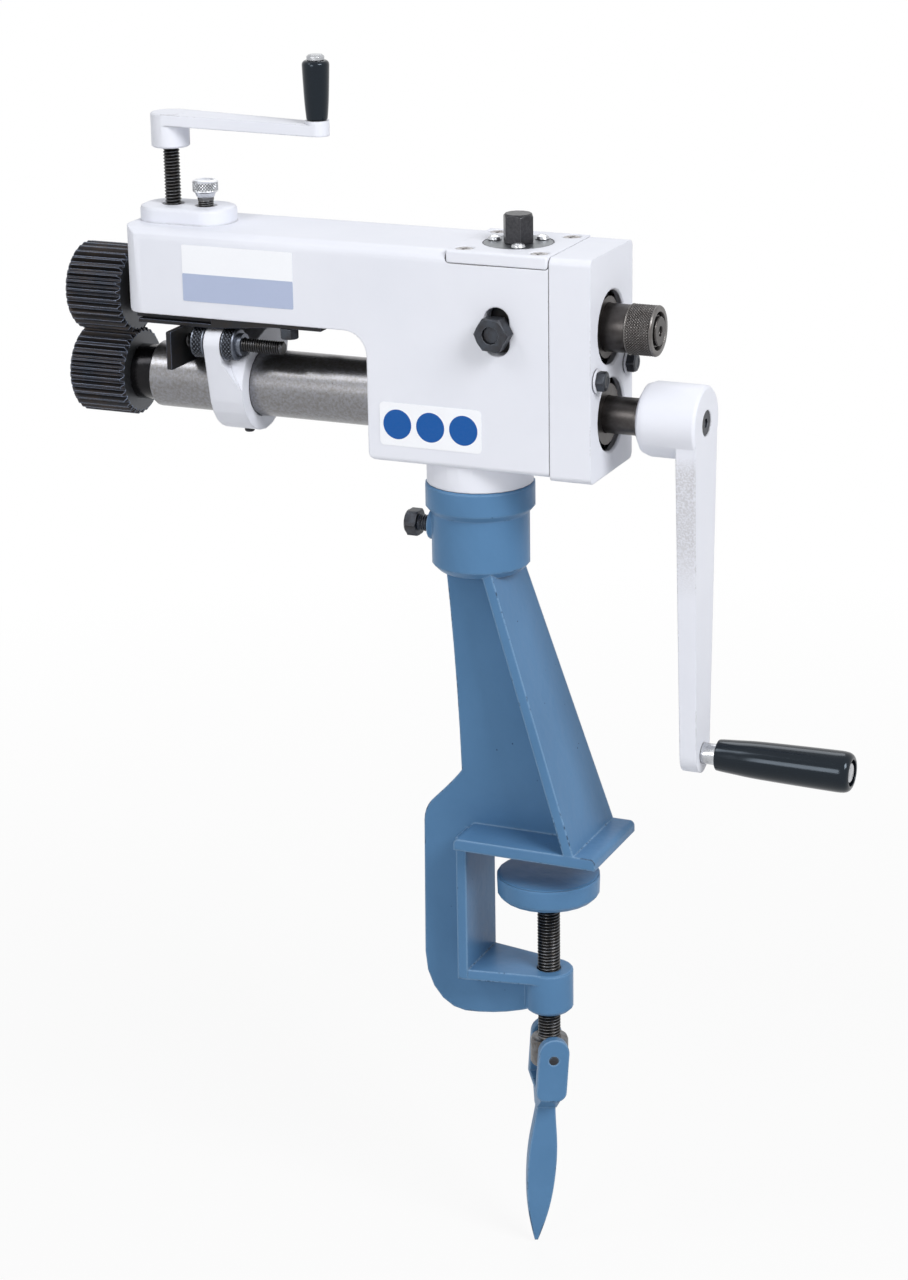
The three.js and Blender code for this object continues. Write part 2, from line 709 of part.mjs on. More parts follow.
// Casting: side outline, end outline and plan outline of the arm and body meet in one block
function headCasting() {
  const half = headWidth / 2;
  const side = new THREE.Shape();
  side.moveTo(throatX + 5, 0);
  side.lineTo(bodyEndX, 0);
  side.lineTo(bodyEndX, bodyHeight);
  side.lineTo(noseX, bodyHeight);
  side.lineTo(noseX, armBottom + noseFoot);
  side.absarc(noseX + noseFoot, armBottom + noseFoot, noseFoot, Math.PI, Math.PI * 1.5);
  side.lineTo(throatX - throatFillet, armBottom);
  side.absarc(throatX - throatFillet, armBottom - throatFillet, throatFillet, Math.PI / 2, 0, true);
  side.lineTo(throatX, 5);
  side.absarc(throatX + 5, 5, 5, Math.PI, Math.PI * 1.5);
  const end = rounded(-half, half, 0, bodyHeight, lowEdgeRadius, topEdgeRadius);
  const plan = new THREE.Shape();
  plan.moveTo(bodyEndX, -half);
  plan.lineTo(bodyEndX, half);
  plan.lineTo(noseX + noseRadius, half);
  plan.absarc(noseX + noseRadius, half - noseRadius, noseRadius, Math.PI / 2, Math.PI);
  plan.absarc(noseX + noseRadius, -half + noseRadius, noseRadius, Math.PI, Math.PI * 1.5);
  const block = prismY(side, -half, half, 4)
    .intersect(prismX(end, noseX, bodyEndX, 3))
    .intersect(prismZ(plan, 0, bodyHeight, 4));

  const bossHalf = pressBossWidth / 2;
  const bossOutline = rounded(noseX, noseX + pressBossLength, -bossHalf, bossHalf, bossHalf - 2);
  const pressBoss = solid(new THREE.ExtrudeGeometry(bossOutline, {
    depth: pressBossHeight,
    bevelSize: pressBossBevel,
    bevelThickness: pressBossBevel,
    bevelOffset: -pressBossBevel,
    bevelSegments: 2,
    curveSegments: 4,
  }).translate(0, 0, bodyHeight - pressBossBevel));
  const spigot = rodZ(spigotFlangeRadius, -spigotFlangeHeight, 1, 24)
    .add(bevelledRodZ(spigotRadius, -spigotFlangeHeight - spigotDepth, 0, 1.5, 0, 24));
  const casting = block.add(pressBoss).add(spigot);

  const floor = upperShaftHeight - channelFloorBelowShaft;
  const channel = box(noseX + noseWall, bodyEndX + 1, -channelHalf, channelHalf, floor, channelRoof);
  const shaftSlot = upperShaftRadius + liftTravel + 1.5;
  const slotEnd = noseX + noseWall + 1;
  const noseSlot = box(noseX - 1, slotEnd, -shaftSlot, shaftSlot, armBottom - 1, upperShaftHeight)
    .add(rodX(shaftSlot, noseX - 1, slotEnd, 24).translate(0, 0, upperShaftHeight));
  const pocketHalf = half - earSkin;
  const pocketTop = upperShaftHeight - frontBlockDrop + earHeight + liftTravel + castingGap;
  const pocket = box(
    noseX + noseWall, noseX + noseWall + earLength + 2 * castingGap, -pocketHalf, pocketHalf,
    armBottom - 1, pocketTop,
  );
  const tubeSeat = rodX(tubeRadius + runningGap, throatX - 1, throatX + tubeSeatDepth + seatGap, 24)
    .translate(0, 0, lowerShaftHeight);
  const shaftBore = rodX(tubeBore, throatX, bodyEndX + 1, 24).translate(0, 0, lowerShaftHeight);
  const plateSeat = prismY(
    rounded(
      bodyEndX - plateLength, bodyEndX + 0.5, plateTop - plateThickness - seatGap, bodyHeight + 1,
      plateCorner + seatGap, 0.01,
    ),
    -half - 1, half + 1, 3,
  );
  const loadHalf = rearBlockLength / 2 + castingGap;
  const loadWindow = box(
    rearBlockToColumn - loadHalf, rearBlockToColumn + loadHalf, -channelHalf, channelHalf,
    channelRoof - 1, bodyHeight,
  );
  const slotHalf = sideSlotWidth / 2;
  const slotLift = sideSlotHeight / 2;
  const slot = prismY(
    rounded(
      rearBlockToColumn - slotHalf, rearBlockToColumn + slotHalf,
      upperShaftHeight - slotLift, upperShaftHeight + slotLift, slotHalf - 0.01,
    ),
    -half - 1, -channelHalf + 1, 6,
  );
  const bossTopHeight = bodyHeight + pressBossHeight;
  const [pressHole, lockHole] = [[pressScrewX, pressScrewRadius], [lockScrewX, lockScrewRadius]]
    .map(([x, radius]) => turnedZ([
      [channelRoof - 1, 0],
      [channelRoof - 1, radius + runningGap],
      [bossTopHeight - screwHoleSink, radius + runningGap],
      [bossTopHeight + 1, radius + runningGap + screwHoleSink + 1],
      [bossTopHeight + 1, 0],
    ], 16).translate(x, 0, 0));
  let result = casting;
  const cuts = [
    channel, noseSlot, pocket, tubeSeat, shaftBore, plateSeat, loadWindow, slot, pressHole, lockHole,
  ];
  for (const cut of cuts) result = result.subtract(cut);
  for (const sign of [-1, 1]) {
    const leafHole = rodZ(leafBoltRadius + seatGap, armBottom - 1, armBottom + leafBoltLength + seatGap, 12);
    result = result.subtract(leafHole.translate(leafBoltX(), sign * leafSide(), 0));
    const boltHole = rodX(coverBoltRadius + seatGap, bodyEndX - 14, bodyEndX + 1, 12);
    result = result.subtract(boltHole.translate(0, sign * coverBoltSide, coverBoltHeight()));
  }
  return result;
}

function coverBoltHeight() {
  return lowerShaftHeight + shaftSpacing / 2;
}

function leafSide() {
  return headWidth / 2 - armWall / 2;
}

function leafTipX() {
  return noseX + noseWall + castingGap + 3;
}

function leafBoltX() {
  return leafTipX() + leafLength;
}

// Tube that carries the lower shaft, seated in the throat wall
function spindleTube(group) {
  const body = turnedX([
    [tubeEndX, tubeBore],
    [tubeEndX, tubeRadius - 1],
    [tubeEndX + 1, tubeRadius],
    [throatX + tubeSeatDepth, tubeRadius],
    [throatX + tubeSeatDepth, tubeBore],
    [tubeEndX, tubeBore],
  ], 24);
  piece('spindle_tube', body, brightSteel, group);
  const bushOuter = tubeBore - seatGap;
  const bushInner = lowerShaftRadius + runningGap;
  const frontBush = ringX(bushInner, bushOuter, tubeEndX, tubeEndX + bushLength);
  piece('front_bush', frontBush, bronze, group);
  const rearBush = ringX(bushInner, bushOuter, bodyEndX - bushLength, bodyEndX);
  piece('rear_bush', rearBush, bronze, group);
}

// Cover over the gears: a box open to the body, with two windows and two posts for its bolts
function gearCover(group) {
  const half = headWidth / 2;
  const low = -coverDrop;
  const outer = prismX(rounded(-half, half, low, bodyHeight, coverEdgeRadius), coverX, coverEndX, 3);
  const inner = box(
    coverX - 1, coverEndX - coverWall, -half + coverWall, half - coverWall,
    low + coverWall, bodyHeight - coverWall,
  );
  let cover = outer.subtract(inner);
  const innerHalf = half - coverWall;
  const inside = box(coverX, coverEndX - 1, -innerHalf - 1, innerHalf + 1, low + 1, bodyHeight - 1);
  for (const sign of [-1, 1]) {
    const [side, height] = [sign * coverBoltSide, coverBoltHeight()];
    const post = rodX(coverPostRadius, coverX, coverEndX - 1, 12).translate(0, side, height);
    const hole = rodX(coverBoltRadius + seatGap, coverX - 1, coverEndX + 1, 12);
    cover = cover.add(post.intersect(inside)).subtract(hole.translate(0, side, height));
  }
  const washerRoom = thrustWasherRadius + liftTravel + castingGap;
  for (const height of [lowerShaftHeight, upperShaftHeight]) {
    const window = turnedX([
      [coverEndX - coverWall - 1, 0],
      [coverEndX - coverWall - 1, washerRoom],
      [coverEndX - windowLip, washerRoom],
      [coverEndX - windowLip, shaftWindowRadius],
      [coverEndX - 1, shaftWindowRadius],
      [coverEndX + 1, shaftWindowRadius + 2],
      [coverEndX + 1, 0],
    ], 24);
    cover = cover.subtract(window.translate(0, 0, height));
  }
  piece('gear_cover', cover, whitePaint, group);
}

// Hexagon bolt with a washer under its head, along X with its seat at the origin
function hexBoltX(across, headHeight, radius, length) {
  const head = hexZ(across, washerThickness, washerThickness + headHeight, 1);
  const washer = rodZ(washerRadius, 0, washerThickness + 0.1, 16);
  const shank = rodZ(radius, -length, 0.1, 12);
  return head.add(washer).add(shank).rotate([0, 90, 0]);
}

function coverBolts(group) {
  for (const [side, sign] of [['near', -1], ['far', 1]]) {
    const bolt = hexBoltX(coverBoltAcross, coverBoltHeadHeight, coverBoltRadius, coverDepth + 12);
    const mesh = piece(`cover_bolt_${side}`, bolt, darkSteel, group);
    mesh.position.set(coverEndX + seatGap, sign * coverBoltSide, coverBoltHeight());
  }
}

// Plate let into the top of the body, with four flush screws and a recess for the flange
function coverPlate(group) {
  const half = headWidth / 2;
  const left = bodyEndX - plateLength + seatGap;
  const right = bodyEndX;
  const low = plateTop - plateThickness;
  const slab = prismZ(rounded(left, right, -half, half, 2), low, plateTop, 3)
    .intersect(prismX(rounded(-half, half, low, plateTop, 0.5, 1.5), left, right, 3))
    .intersect(prismY(rounded(left, right, low, plateTop, plateCorner, 1), -half, half, 3));
  const centre = rearBlockToColumn;
  const screwHole = rodZ(adjustScrewRadius + castingGap, low - 1, plateTop + 1, 16);
  const recess = rodZ(adjustFlangeRadius + seatGap, flangeLow - seatGap, plateTop + 1, 24);
  let plate = slab.subtract(screwHole.add(recess).translate(centre, 0, 0));
  const places = [];
  for (const x of [left + plateScrewInset, right - plateScrewInset]) {
    for (const sign of [-1, 1]) places.push([x, sign * (half - plateScrewInset)]);
  }
  const sink = turnedZ([
    [-plateScrewDepth - seatGap, 0],
    [-plateScrewDepth - seatGap, plateScrewRadius - plateScrewDepth + seatGap],
    [0, plateScrewRadius + seatGap],
    [1, plateScrewRadius + seatGap],
    [1, 0],
  ], 16);
  for (const [x, y] of places) plate = plate.subtract(sink.translate(x, y, plateTop));
  for (const place of domePlaces()) {
    const hole = rodZ(domeScrewShank + seatGap, plateTop - domeScrewLength - seatGap, plateTop + 1, 12);
    plate = plate.subtract(hole.translate(place.x, place.y, 0));
  }
  piece('cover_plate', plate, whitePaint, group);
  const screw = turnedZ([
    [-plateScrewDepth, 0],
    [-plateScrewDepth, plateScrewRadius - plateScrewDepth],
    [-0.3, plateScrewRadius - 0.3],
    [-0.3, 0],
  ], 16);
  places.forEach(([x, y], i) => {
    piece(`plate_screw_${i + 1}`, screw, darkSteel, group).position.set(x, y, plateTop);
  });
}

// Places of the three round-headed screws round the adjusting screw
function domePlaces() {
  return [0, 120, 240].map((step) => {
    const angle = radians(domeScrewTurn + step);
    const [x, y] = [domeScrewRing * Math.cos(angle), domeScrewRing * Math.sin(angle)];
    return new THREE.Vector2(rearBlockToColumn + x, y);
  });
}

// Round flange let into the plate, under three round-headed screws
function adjustFlange(group) {
  const [low, high] = [flangeLow, plateTop];
  let flange = bevelledRodZ(adjustFlangeRadius, low, high, 0, 0.4, 24)
    .subtract(rodZ(adjustScrewRadius + runningGap, low - 1, high + 1, 16))
    .translate(rearBlockToColumn, 0, 0);
  const hole = rodZ(domeScrewShank + seatGap, low - 1, high + 1, 12);
  for (const place of domePlaces()) flange = flange.subtract(hole.translate(place.x, place.y, 0));
  piece('adjust_flange', flange, blackSteel, group);
  const profile = [
    [-domeScrewLength, 0],
    [-domeScrewLength, domeScrewShank],
    [0, domeScrewShank],
    [0, domeScrewRadius],
  ];
  for (let step = 1; step <= 3; step += 1) {
    const angle = (step / 3) * Math.PI / 2;
    profile.push([0.4 + (domeScrewHeight - 0.4) * Math.sin(angle), domeScrewRadius * Math.cos(angle)]);
  }
  profile[profile.length - 1][1] = 0;
  domePlaces().forEach((place, i) => {
    const mesh = piece(`flange_screw_${i + 1}`, turnedZ(profile, 12), silverSteel, group);
    mesh.position.set(place.x, place.y, high + seatGap);
  });
}

// Leaf spring with its packing: flat under the wall at its bolt, sloping down to the block's ear
function leafSprings(group) {
  const earLow = upperShaftHeight - frontBlockDrop;
  const rootTop = armBottom - seatGap;
  const tipTop = earLow - seatGap;
  const tip = leafTipX();
  const bolt = leafBoltX();
  const packing = noseX + noseWall + earLength + 2 * castingGap;
  const tail = bolt + leafTail;
  const shape = polygon([
    [tip, tipTop - leafThickness],
    [tip + earLength, tipTop - leafThickness],
    [bolt - leafFlat, rootTop - leafThickness],
    [tail, rootTop - leafThickness],
    [tail, rootTop],
    [packing, rootTop],
    [packing, tipTop],
    [tip, tipTop],
  ]);
  for (const [side, sign] of [['near', -1], ['far', 1]]) {
    const middle = sign * leafSide();
    const leaf = prismY(shape, middle - leafWidth / 2, middle + leafWidth / 2)
      .subtract(rodZ(leafBoltRadius + seatGap, 0, bodyHeight, 12).translate(bolt, middle, 0));
    piece(`leaf_spring_${side}`, leaf, blackSteel, group);
    const headTop = rootTop - leafThickness - seatGap;
    const screw = hexZ(leafBoltAcross, 0, leafBoltHead, 0.8).rotate([180, 0, 0])
      .add(rodZ(leafBoltRadius, -0.1, leafBoltLength, 12));
    piece(`leaf_bolt_${side}`, screw, darkSteel, group).position.set(bolt, middle, headTop);
  }
}

// Bearing blocks of the upper shaft: the front one has ears over the leaf springs
function bearingBlocks(group) {
  const halfWide = channelHalf - runningGap;
  const frontX = noseX + noseWall + castingGap;
  const low = -frontBlockDrop;
  const earTop = low + earHeight;
  const earHalf = headWidth / 2 - earSkin - castingGap;
  const frontEnd = rounded(-halfWide, halfWide, low, blockRise, 1.5);
  const main = prismX(frontEnd, frontX, frontX + frontBlockLength, 2);
  const ears = box(frontX, frontX + earLength, -earHalf, earHalf, low, earTop);
  const bore = rodX(blockBoreRadius, frontX - 1, frontX + earLength + 1, 24);
  piece('front_block', main.add(ears).subtract(bore), blackSteel, group);
  const rearX = rearBlockToColumn - rearBlockLength / 2;
  const studHole = rodX(sideStudRadius + seatGap, -20, 20, 12).rotate([0, 0, 90])
    .translate(rearBlockToColumn, -halfWide - 20 + studDepth(), 0);
  const rearEnd = rounded(-halfWide, halfWide, -rearBlockDrop, blockRise, 1.5);
  const rear = prismX(rearEnd, rearX, rearX + rearBlockLength, 2)
    .subtract(rodX(blockBoreRadius, rearX - 1, rearX + rearBlockLength + 1, 24))
    .subtract(studHole);
  piece('rear_block', rear, blackSteel, group);
}

function studDepth() {
  return channelHalf - runningGap - blockBoreRadius - 2;
}

// Stud of the rear block and its nut on the outside of the slot
function sideNut(group) {
  const nutSeat = headWidth / 2 + castingGap;
  const inner = channelHalf - runningGap - studDepth() + seatGap;
  const outer = nutSeat + sideNutHeight - sideStudSunk;
  const stud = rodX(sideStudRadius, -outer, -inner, 12).rotate([0, 0, 90]);
  const nut = hexZ(sideNutAcross, 0, sideNutHeight, 1.2)
    .subtract(rodZ(sideStudRadius + seatGap, -1, sideNutHeight + 1, 12))
    .rotate([90, 0, 0]).translate(0, -nutSeat, 0);
  piece('side_stud', stud, darkSteel, group).position.x = rearBlockToColumn;
  piece('side_nut', nut, darkSteel, group).position.x = rearBlockToColumn;
}

// Straight-toothed crimping roll, chamfered at both ends
function crimpRoll(shift, bore) {
  const root = shaftSpacing - rollRadius - rollToothClearance;
  const teeth = toothedX(
    rollTeeth, root, rollRadius, rollRootShare, rollTipShare, shift, rollOuterX, rollInnerX,
  );
  const envelope = turnedX([
    [rollOuterX, 0],
    [rollOuterX, rollRadius - rollChamfer],
    [rollOuterX + rollChamfer, rollRadius + 0.5],
    [rollInnerX - rollChamfer, rollRadius + 0.5],
    [rollInnerX, rollRadius - rollChamfer],
    [rollInnerX, 0],
  ], 24);
  return teeth.intersect(envelope).subtract(rodX(bore + seatGap, rollOuterX - 1, rollInnerX + 1, 16));
}

function spurGear(shift, bore) {
  const pitchRadius = shaftSpacing / 2;
  const tip = pitchRadius + gearAddendum;
  const root = shaftSpacing - tip - gearToothClearance;
  return toothedX(gearTeeth, root, tip, gearRootShare, gearTipShare, shift, gearX, gearX + gearWidth)
    .subtract(rodX(bore + seatGap, gearX - 1, gearX + gearWidth + 1, 24));
}

function rollNut() {
  const nut = hexZ(rollNutAcross, 0, rollNutHeight, 1.5)
    .subtract(rodZ(rollBore - 1 + seatGap, -1, rollNutHeight + 1, 16));
  return nut.rotate([0, -90, 0]).translate(rollOuterX - seatGap, 0, 0);
}

// Upper shaft with its roll and gear, turning in the two blocks
function upperShaft(group) {
  const shoulder = rollInnerX + seatGap;
  const sleeveX = coverEndX + endShaftFree;
  const sleeveEnd = sleeveX + endSleeveLength;
  const shaft = turnedX([
    [rollOuterX - rollNutHeight - rollNutProud, 0],
    [rollOuterX - rollNutHeight - rollNutProud, rollBore - 1],
    [rollOuterX, rollBore - 1],
    [rollOuterX, rollBore],
    [shoulder, rollBore],
    [shoulder, upperShaftRadius],
    [sleeveX, upperShaftRadius],
    [sleeveX, endSpindleRadius],
    [sleeveEnd - 1.5, endSpindleRadius],
    [sleeveEnd - 1.5, 0],
  ]);
  piece('upper_shaft', shaft, darkSteel, group);
  piece('upper_roll', crimpRoll(0.5, rollBore), blackSteel, group);
  piece('upper_roll_nut', rollNut(), darkSteel, group);
  piece('upper_gear', spurGear(0.5, upperShaftRadius), darkSteel, group);
  const washerEnd = coverEndX - windowLip - seatGap;
  const washer = ringX(
    upperShaftRadius + seatGap, thrustWasherRadius, washerEnd - upperWasherThickness, washerEnd,
  );
  piece('upper_washer', washer, darkSteel, group);
  const sleeve = turnedX([
    [sleeveX + seatGap, endSpindleRadius + seatGap],
    [sleeveX + seatGap, endSleeveRadius - 1],
    [sleeveX + 1, endSleeveRadius],
    [sleeveEnd - 1, endSleeveRadius],
    [sleeveEnd, endSleeveRadius - 1],
    [sleeveEnd, endSpindleRadius + seatGap],
    [sleeveX + seatGap, endSpindleRadius + seatGap],
  ]);
  piece('end_sleeve', sleeve, darkSteel, group);
  const screw = bevelledRodZ(endScrewRadius, 0, endScrewHeight, 0, 0.6, 16).rotate([0, 90, 0]);
  piece('end_screw', screw, darkSteel, group).position.x = sleeveEnd - 1.5 + seatGap;
}

// Pressing screw over the front block, turned by the small crank: its bar is flush with the hub's top
function pressScrew(group) {
  const hubLow = bodyHeight + pressBossHeight + pressScrewFree;
  const screwEnd = hubLow + topHubHeight - topBarThickness;
  const screw = bevelledRodZ(pressScrewRadius, blockTop + seatGap, screwEnd, 1, 0, 16);
  piece('press_screw', screw, blackSteel, group);
  const hub = bevelledRodZ(topHubRadius, 0, topHubHeight, 0.8, 0.8);
  const bore = rodZ(pressScrewRadius + seatGap, -1, topHubHeight - topBarThickness + seatGap, 16);
  const under = topHubHeight - topBarThickness;
  const far = topBarLength + topBarEndRadius;
  const side = polygon([
    [0, under],
    [far, under - topBarFall],
    [far, topHubHeight - topBarFall],
    [0, topHubHeight],
  ]);
  const bar = prismY(side, -topHubRadius, topHubRadius)
    .intersect(prismZ(hull(0, 0, topHubRadius, topBarLength, 0, topBarEndRadius), 0, topHubHeight, 6));
  const end = rodZ(topBarEndRadius, under - topBarFall + 1, topHubHeight, 20);
  const pinHole = rodZ(smallPinRadius + seatGap, 0, topHubHeight + 1, 12);
  const crank = hub.add(bar).subtract(bore)
    .add(end.translate(topBarLength, 0, 0))
    .subtract(pinHole.translate(topBarLength, 0, 0));
  const arm = groupAt(group, 0, 0, hubLow);
  piece('top_crank', crank, whitePaint, arm);
  const gripLow = topHubHeight + seatGap;
  const gripTop = gripLow + smallGripLength;
  const pinTop = gripTop + seatGap;
  const pin = turnedZ([
    [under - topBarFall + 1, 0],
    [under - topBarFall + 1, smallPinRadius],
    [pinTop, smallPinRadius],
    [pinTop, smallCapRadius],
    [pinTop + smallCapHeight - 1, smallCapRadius],
    [pinTop + smallCapHeight, smallCapRadius - 1.2],
    [pinTop + smallCapHeight, 0],
  ], 18);
  piece('small_pin', pin, silverSteel, arm).position.x = topBarLength;
  const gripBore = smallPinRadius + runningGap;
  const grip = turnedZ([
    [gripLow, gripBore],
    [gripLow, smallGripFoot - 1],
    [gripLow + 1.5, smallGripFoot],
    [gripLow + smallGripLength * 0.6, smallGripRadius - 0.3],
    [gripTop - 2, smallGripRadius],
    [gripTop - 0.5, smallGripRadius - 0.8],
    [gripTop, smallGripRadius - 1.6],
    [gripTop, gripBore],
    [gripLow, gripBore],
  ], 20);
  piece('small_grip', grip, blackPlastic, arm).position.x = topBarLength;
}

// Knurled lock screw that bears on the front block
function lockScrew(group) {
  const seat = bodyHeight + pressBossHeight;
  const neck = seat + lockScrewFree;
  const screw = turnedZ([
    [blockTop + seatGap, 0],
    [blockTop + seatGap, lockScrewRadius - 1],
    [blockTop + seatGap + 1, lockScrewRadius],
    [neck, lockScrewRadius],
    [neck + lockNeckHeight, lockHeadRadius - 1.5],
    [neck + lockNeckHeight + 0.6, lockHeadRadius],
    [neck + lockNeckHeight + lockHeadHeight - 0.8, lockHeadRadius],
    [neck + lockNeckHeight + lockHeadHeight, lockHeadRadius - 1],
    [neck + lockNeckHeight + lockHeadHeight, 0],
  ], 24);
  piece('lock_screw', screw, silverSteel, group);
}

// Rear adjusting screw: hexagon post above the flange, shank down to the rear block
function adjustScrew(group) {
  const low = plateTop + seatGap;
  const hex = hexZ(adjustHexAcross, low, low + adjustHexHeight, 1.6);
  const shank = bevelledRodZ(adjustScrewRadius, blockTop + seatGap, low + 1, 1, 0, 16);
  piece('adjust_screw', hex.add(shank), darkSteel, group);
}

// Lower shaft with its roll, collar and gear, turned by the crank
function lowerShaft(group) {
  const shoulder = rollInnerX + seatGap;
  const shaft = turnedX([
    [rollOuterX - rollNutHeight - rollNutProud, 0],
    [rollOuterX - rollNutHeight - rollNutProud, rollBore - 1],
    [rollOuterX, rollBore - 1],
    [rollOuterX, rollBore],
    [shoulder, rollBore],
    [shoulder, lowerShaftRadius],
    [crankEndX - hubScrewHeight - 1, lowerShaftRadius],
    [crankEndX - hubScrewHeight - 1, 0],
  ]);
  piece('lower_shaft', shaft, darkSteel, group);
  piece('lower_roll', crimpRoll(0, rollBore), blackSteel, group);
  piece('lower_roll_nut', rollNut(), darkSteel, group);
  piece('lower_gear', spurGear(0, lowerShaftRadius), darkSteel, group);
  const collar = ringX(
    lowerShaftRadius + seatGap, rollCollarRadius, rollInnerX + seatGap, tubeEndX - runningGap,
  );
  piece('roll_collar', collar, blackSteel, group);
  const washerX = coverEndX - windowLip - seatGap - thrustWasherThickness;
  const bore = lowerShaftRadius + seatGap;
  const washer = ringX(bore, thrustWasherRadius, washerX, washerX + thrustWasherThickness);
  piece('thrust_washer', washer, darkSteel, group);
  const ringEnd = crankHubX - seatGap;
  const ring = ringX(bore, shaftRingRadius, ringEnd - shaftRingWidth, ringEnd);
  piece('shaft_ring', ring, darkSteel, group);
}

// Crank casting: round hub and a tapering flat arm
function crankArm(group) {
  const hub = turnedX([
    [crankHubX, 0],
    [crankHubX, crankHubRadius - 5],
    [crankHubX + 2, crankHubRadius - 1.5],
    [crankHubX + 6, crankHubRadius],
    [crankEndX - 1.5, crankHubRadius],
    [crankEndX, crankHubRadius - 1.5],
    [crankEndX, 0],
  ], 24);
  const outline = hull(0, 0, crankTopWidth / 2, 0, -crankLength, crankTipWidth / 2);
  const blank = prismX(outline, crankEndX - crankArmThickness, crankEndX, 6);
  const tipX = crankEndX - crankTipThickness;
  const taper = prismY(polygon([
    [crankEndX - crankArmThickness, crankHubRadius],
    [crankEndX, crankHubRadius],
    [crankEndX, -crankLength - crankTipWidth],
    [tipX, -crankLength - crankTipWidth],
    [tipX, -crankLength],
    [crankEndX - crankArmThickness, -crankHubRadius],
  ]), -50, 50);
  const screwSeat = crankEndX - hubScrewHeight - 1;
  const shaftHole = rodX(lowerShaftRadius + seatGap, crankHubX - 1, screwSeat + seatGap, 16);
  const screwHole = rodX(hubScrewRadius + seatGap, screwSeat - 1, crankEndX + 1, 16);
  const pinHole = rodX(gripPinRadius + seatGap, tipX - 1, crankEndX + 1, 16).translate(0, 0, -crankLength);
  const crank = hub.add(blank.intersect(taper)).subtract(shaftHole).subtract(screwHole).subtract(pinHole);
  piece('crank_arm', crank, whitePaint, group);
  const screw = rodZ(hubScrewRadius, 0, hubScrewHeight, 16).rotate([0, 90, 0]);
  piece('hub_screw', screw, darkSteel, group).position.x = crankEndX - hubScrewHeight - 0.5;
}

// Grip that spins on its pin at the crank's tip
function crankGrip(group) {
  const gripX = crankEndX + gripPinFree;
  const gripEnd = gripX + gripLength;
  const axle = groupAt(group, 0, 0, -crankLength);
  const pinEnd = gripEnd - gripScrewHeight + seatGap;
  const pin = turnedX([
    [crankEndX - crankTipThickness, 0],
    [crankEndX - crankTipThickness, gripPinRadius],
    [crankEndX + seatGap, gripPinRadius],
    [crankEndX + seatGap, gripPinRadius + 1.2],
    [gripX - seatGap, gripPinRadius + 1.2],
    [gripX - seatGap, gripPinRadius],
    [pinEnd, gripPinRadius],
    [pinEnd, gripPinHead],
    [gripEnd - 1, gripPinHead],
    [gripEnd - 0.5, gripPinHead - 1],
    [gripEnd - 0.5, 0],
  ], 18);
  piece('grip_pin', pin, silverSteel, axle);
  const bore = gripPinRadius + runningGap;
  const recessX = gripEnd - gripScrewHeight;
  const grip = turnedX([
    [gripX, bore],
    [gripX, gripNeck - 1.5],
    [gripX + 1.5, gripNeck],
    [gripX + gripLength * 0.3, gripRadius - 1],
    [gripX + gripLength * 0.6, gripRadius - 0.4],
    [gripEnd - 6, gripRadius],
    [gripEnd - 2, gripRadius - 0.6],
    [gripEnd, gripRadius - 2.5],
    [gripEnd, gripRecess],
    [recessX, gripRecess],
    [recessX, bore],
    [gripX, bore],
  ], 24);
  piece('crank_grip', grip, blackPlastic, axle);
}

// Gauge bracket: a ring on the tube with two lobes above it. The near one is thin at the gauge rod
// and widens down to the ring.
function gaugeBracket(group) {
  const x0 = noseX + bracketToNose;
  const x1 = x0 + bracketLength;
  const outer = tubeRadius + bracketWall;
  const near = hull(0, 0, outer, -lobeSide, lobeAboveTube, lobeRadius);
  const far = hull(0, 0, outer, lobeSide, lobeAboveTube, lobeRadius);
  const reach = lobeAboveTube + lobeRadius + outer;
  const lobeSlope = prismY(polygon([
    [x0, -reach],
    [x1, -reach],
    [x1, 0],
    [x0 + nearLobeThickness, lobeAboveTube - gaugeNutRadius - 1],
    [x0 + nearLobeThickness, reach],
    [x0, reach],
  ]), -reach, reach);
  const saddle = rodX(lobeSide - lobeRadius, x0 - 1, x1 + 1, 20).translate(0, 0, shaftSpacing);
  const rodHole = rodX(gaugeRodRadius + runningGap, x0 - 1, x1 + 1, 16);
  const nutRoom = rodX(gaugeNutRadius + runningGap, x0 + nearLobeThickness, x1 + 1, 24);
  const middle = (x0 + x1) / 2;
  const screwHole = rodZ(setScrewRadius + seatGap, -outer - 1, 0, 14).translate(middle, 0, 0);
  const body = prismX(near, x0, x1, 6)
    .intersect(lobeSlope)
    .add(prismX(far, x0, x1, 6))
    .subtract(saddle)
    .subtract(rodHole.translate(0, -lobeSide, lobeAboveTube))
    .add(rodX(outer, x0, x1, 24))
    .subtract(rodX(tubeRadius + runningGap, x0 - 1, x1 + 1, 24))
    .subtract(nutRoom.translate(0, -lobeSide, lobeAboveTube))
    .subtract(screwHole);
  piece('gauge_bracket', body, whitePaint, group);
  const tip = -tubeRadius - runningGap - seatGap;
  const screw = bevelledRodZ(setScrewRadius, -outer - setScrewProud, tip, 0.6, 0.6, 14);
  piece('bracket_screw', screw, blackSteel, group).position.x = middle;
}

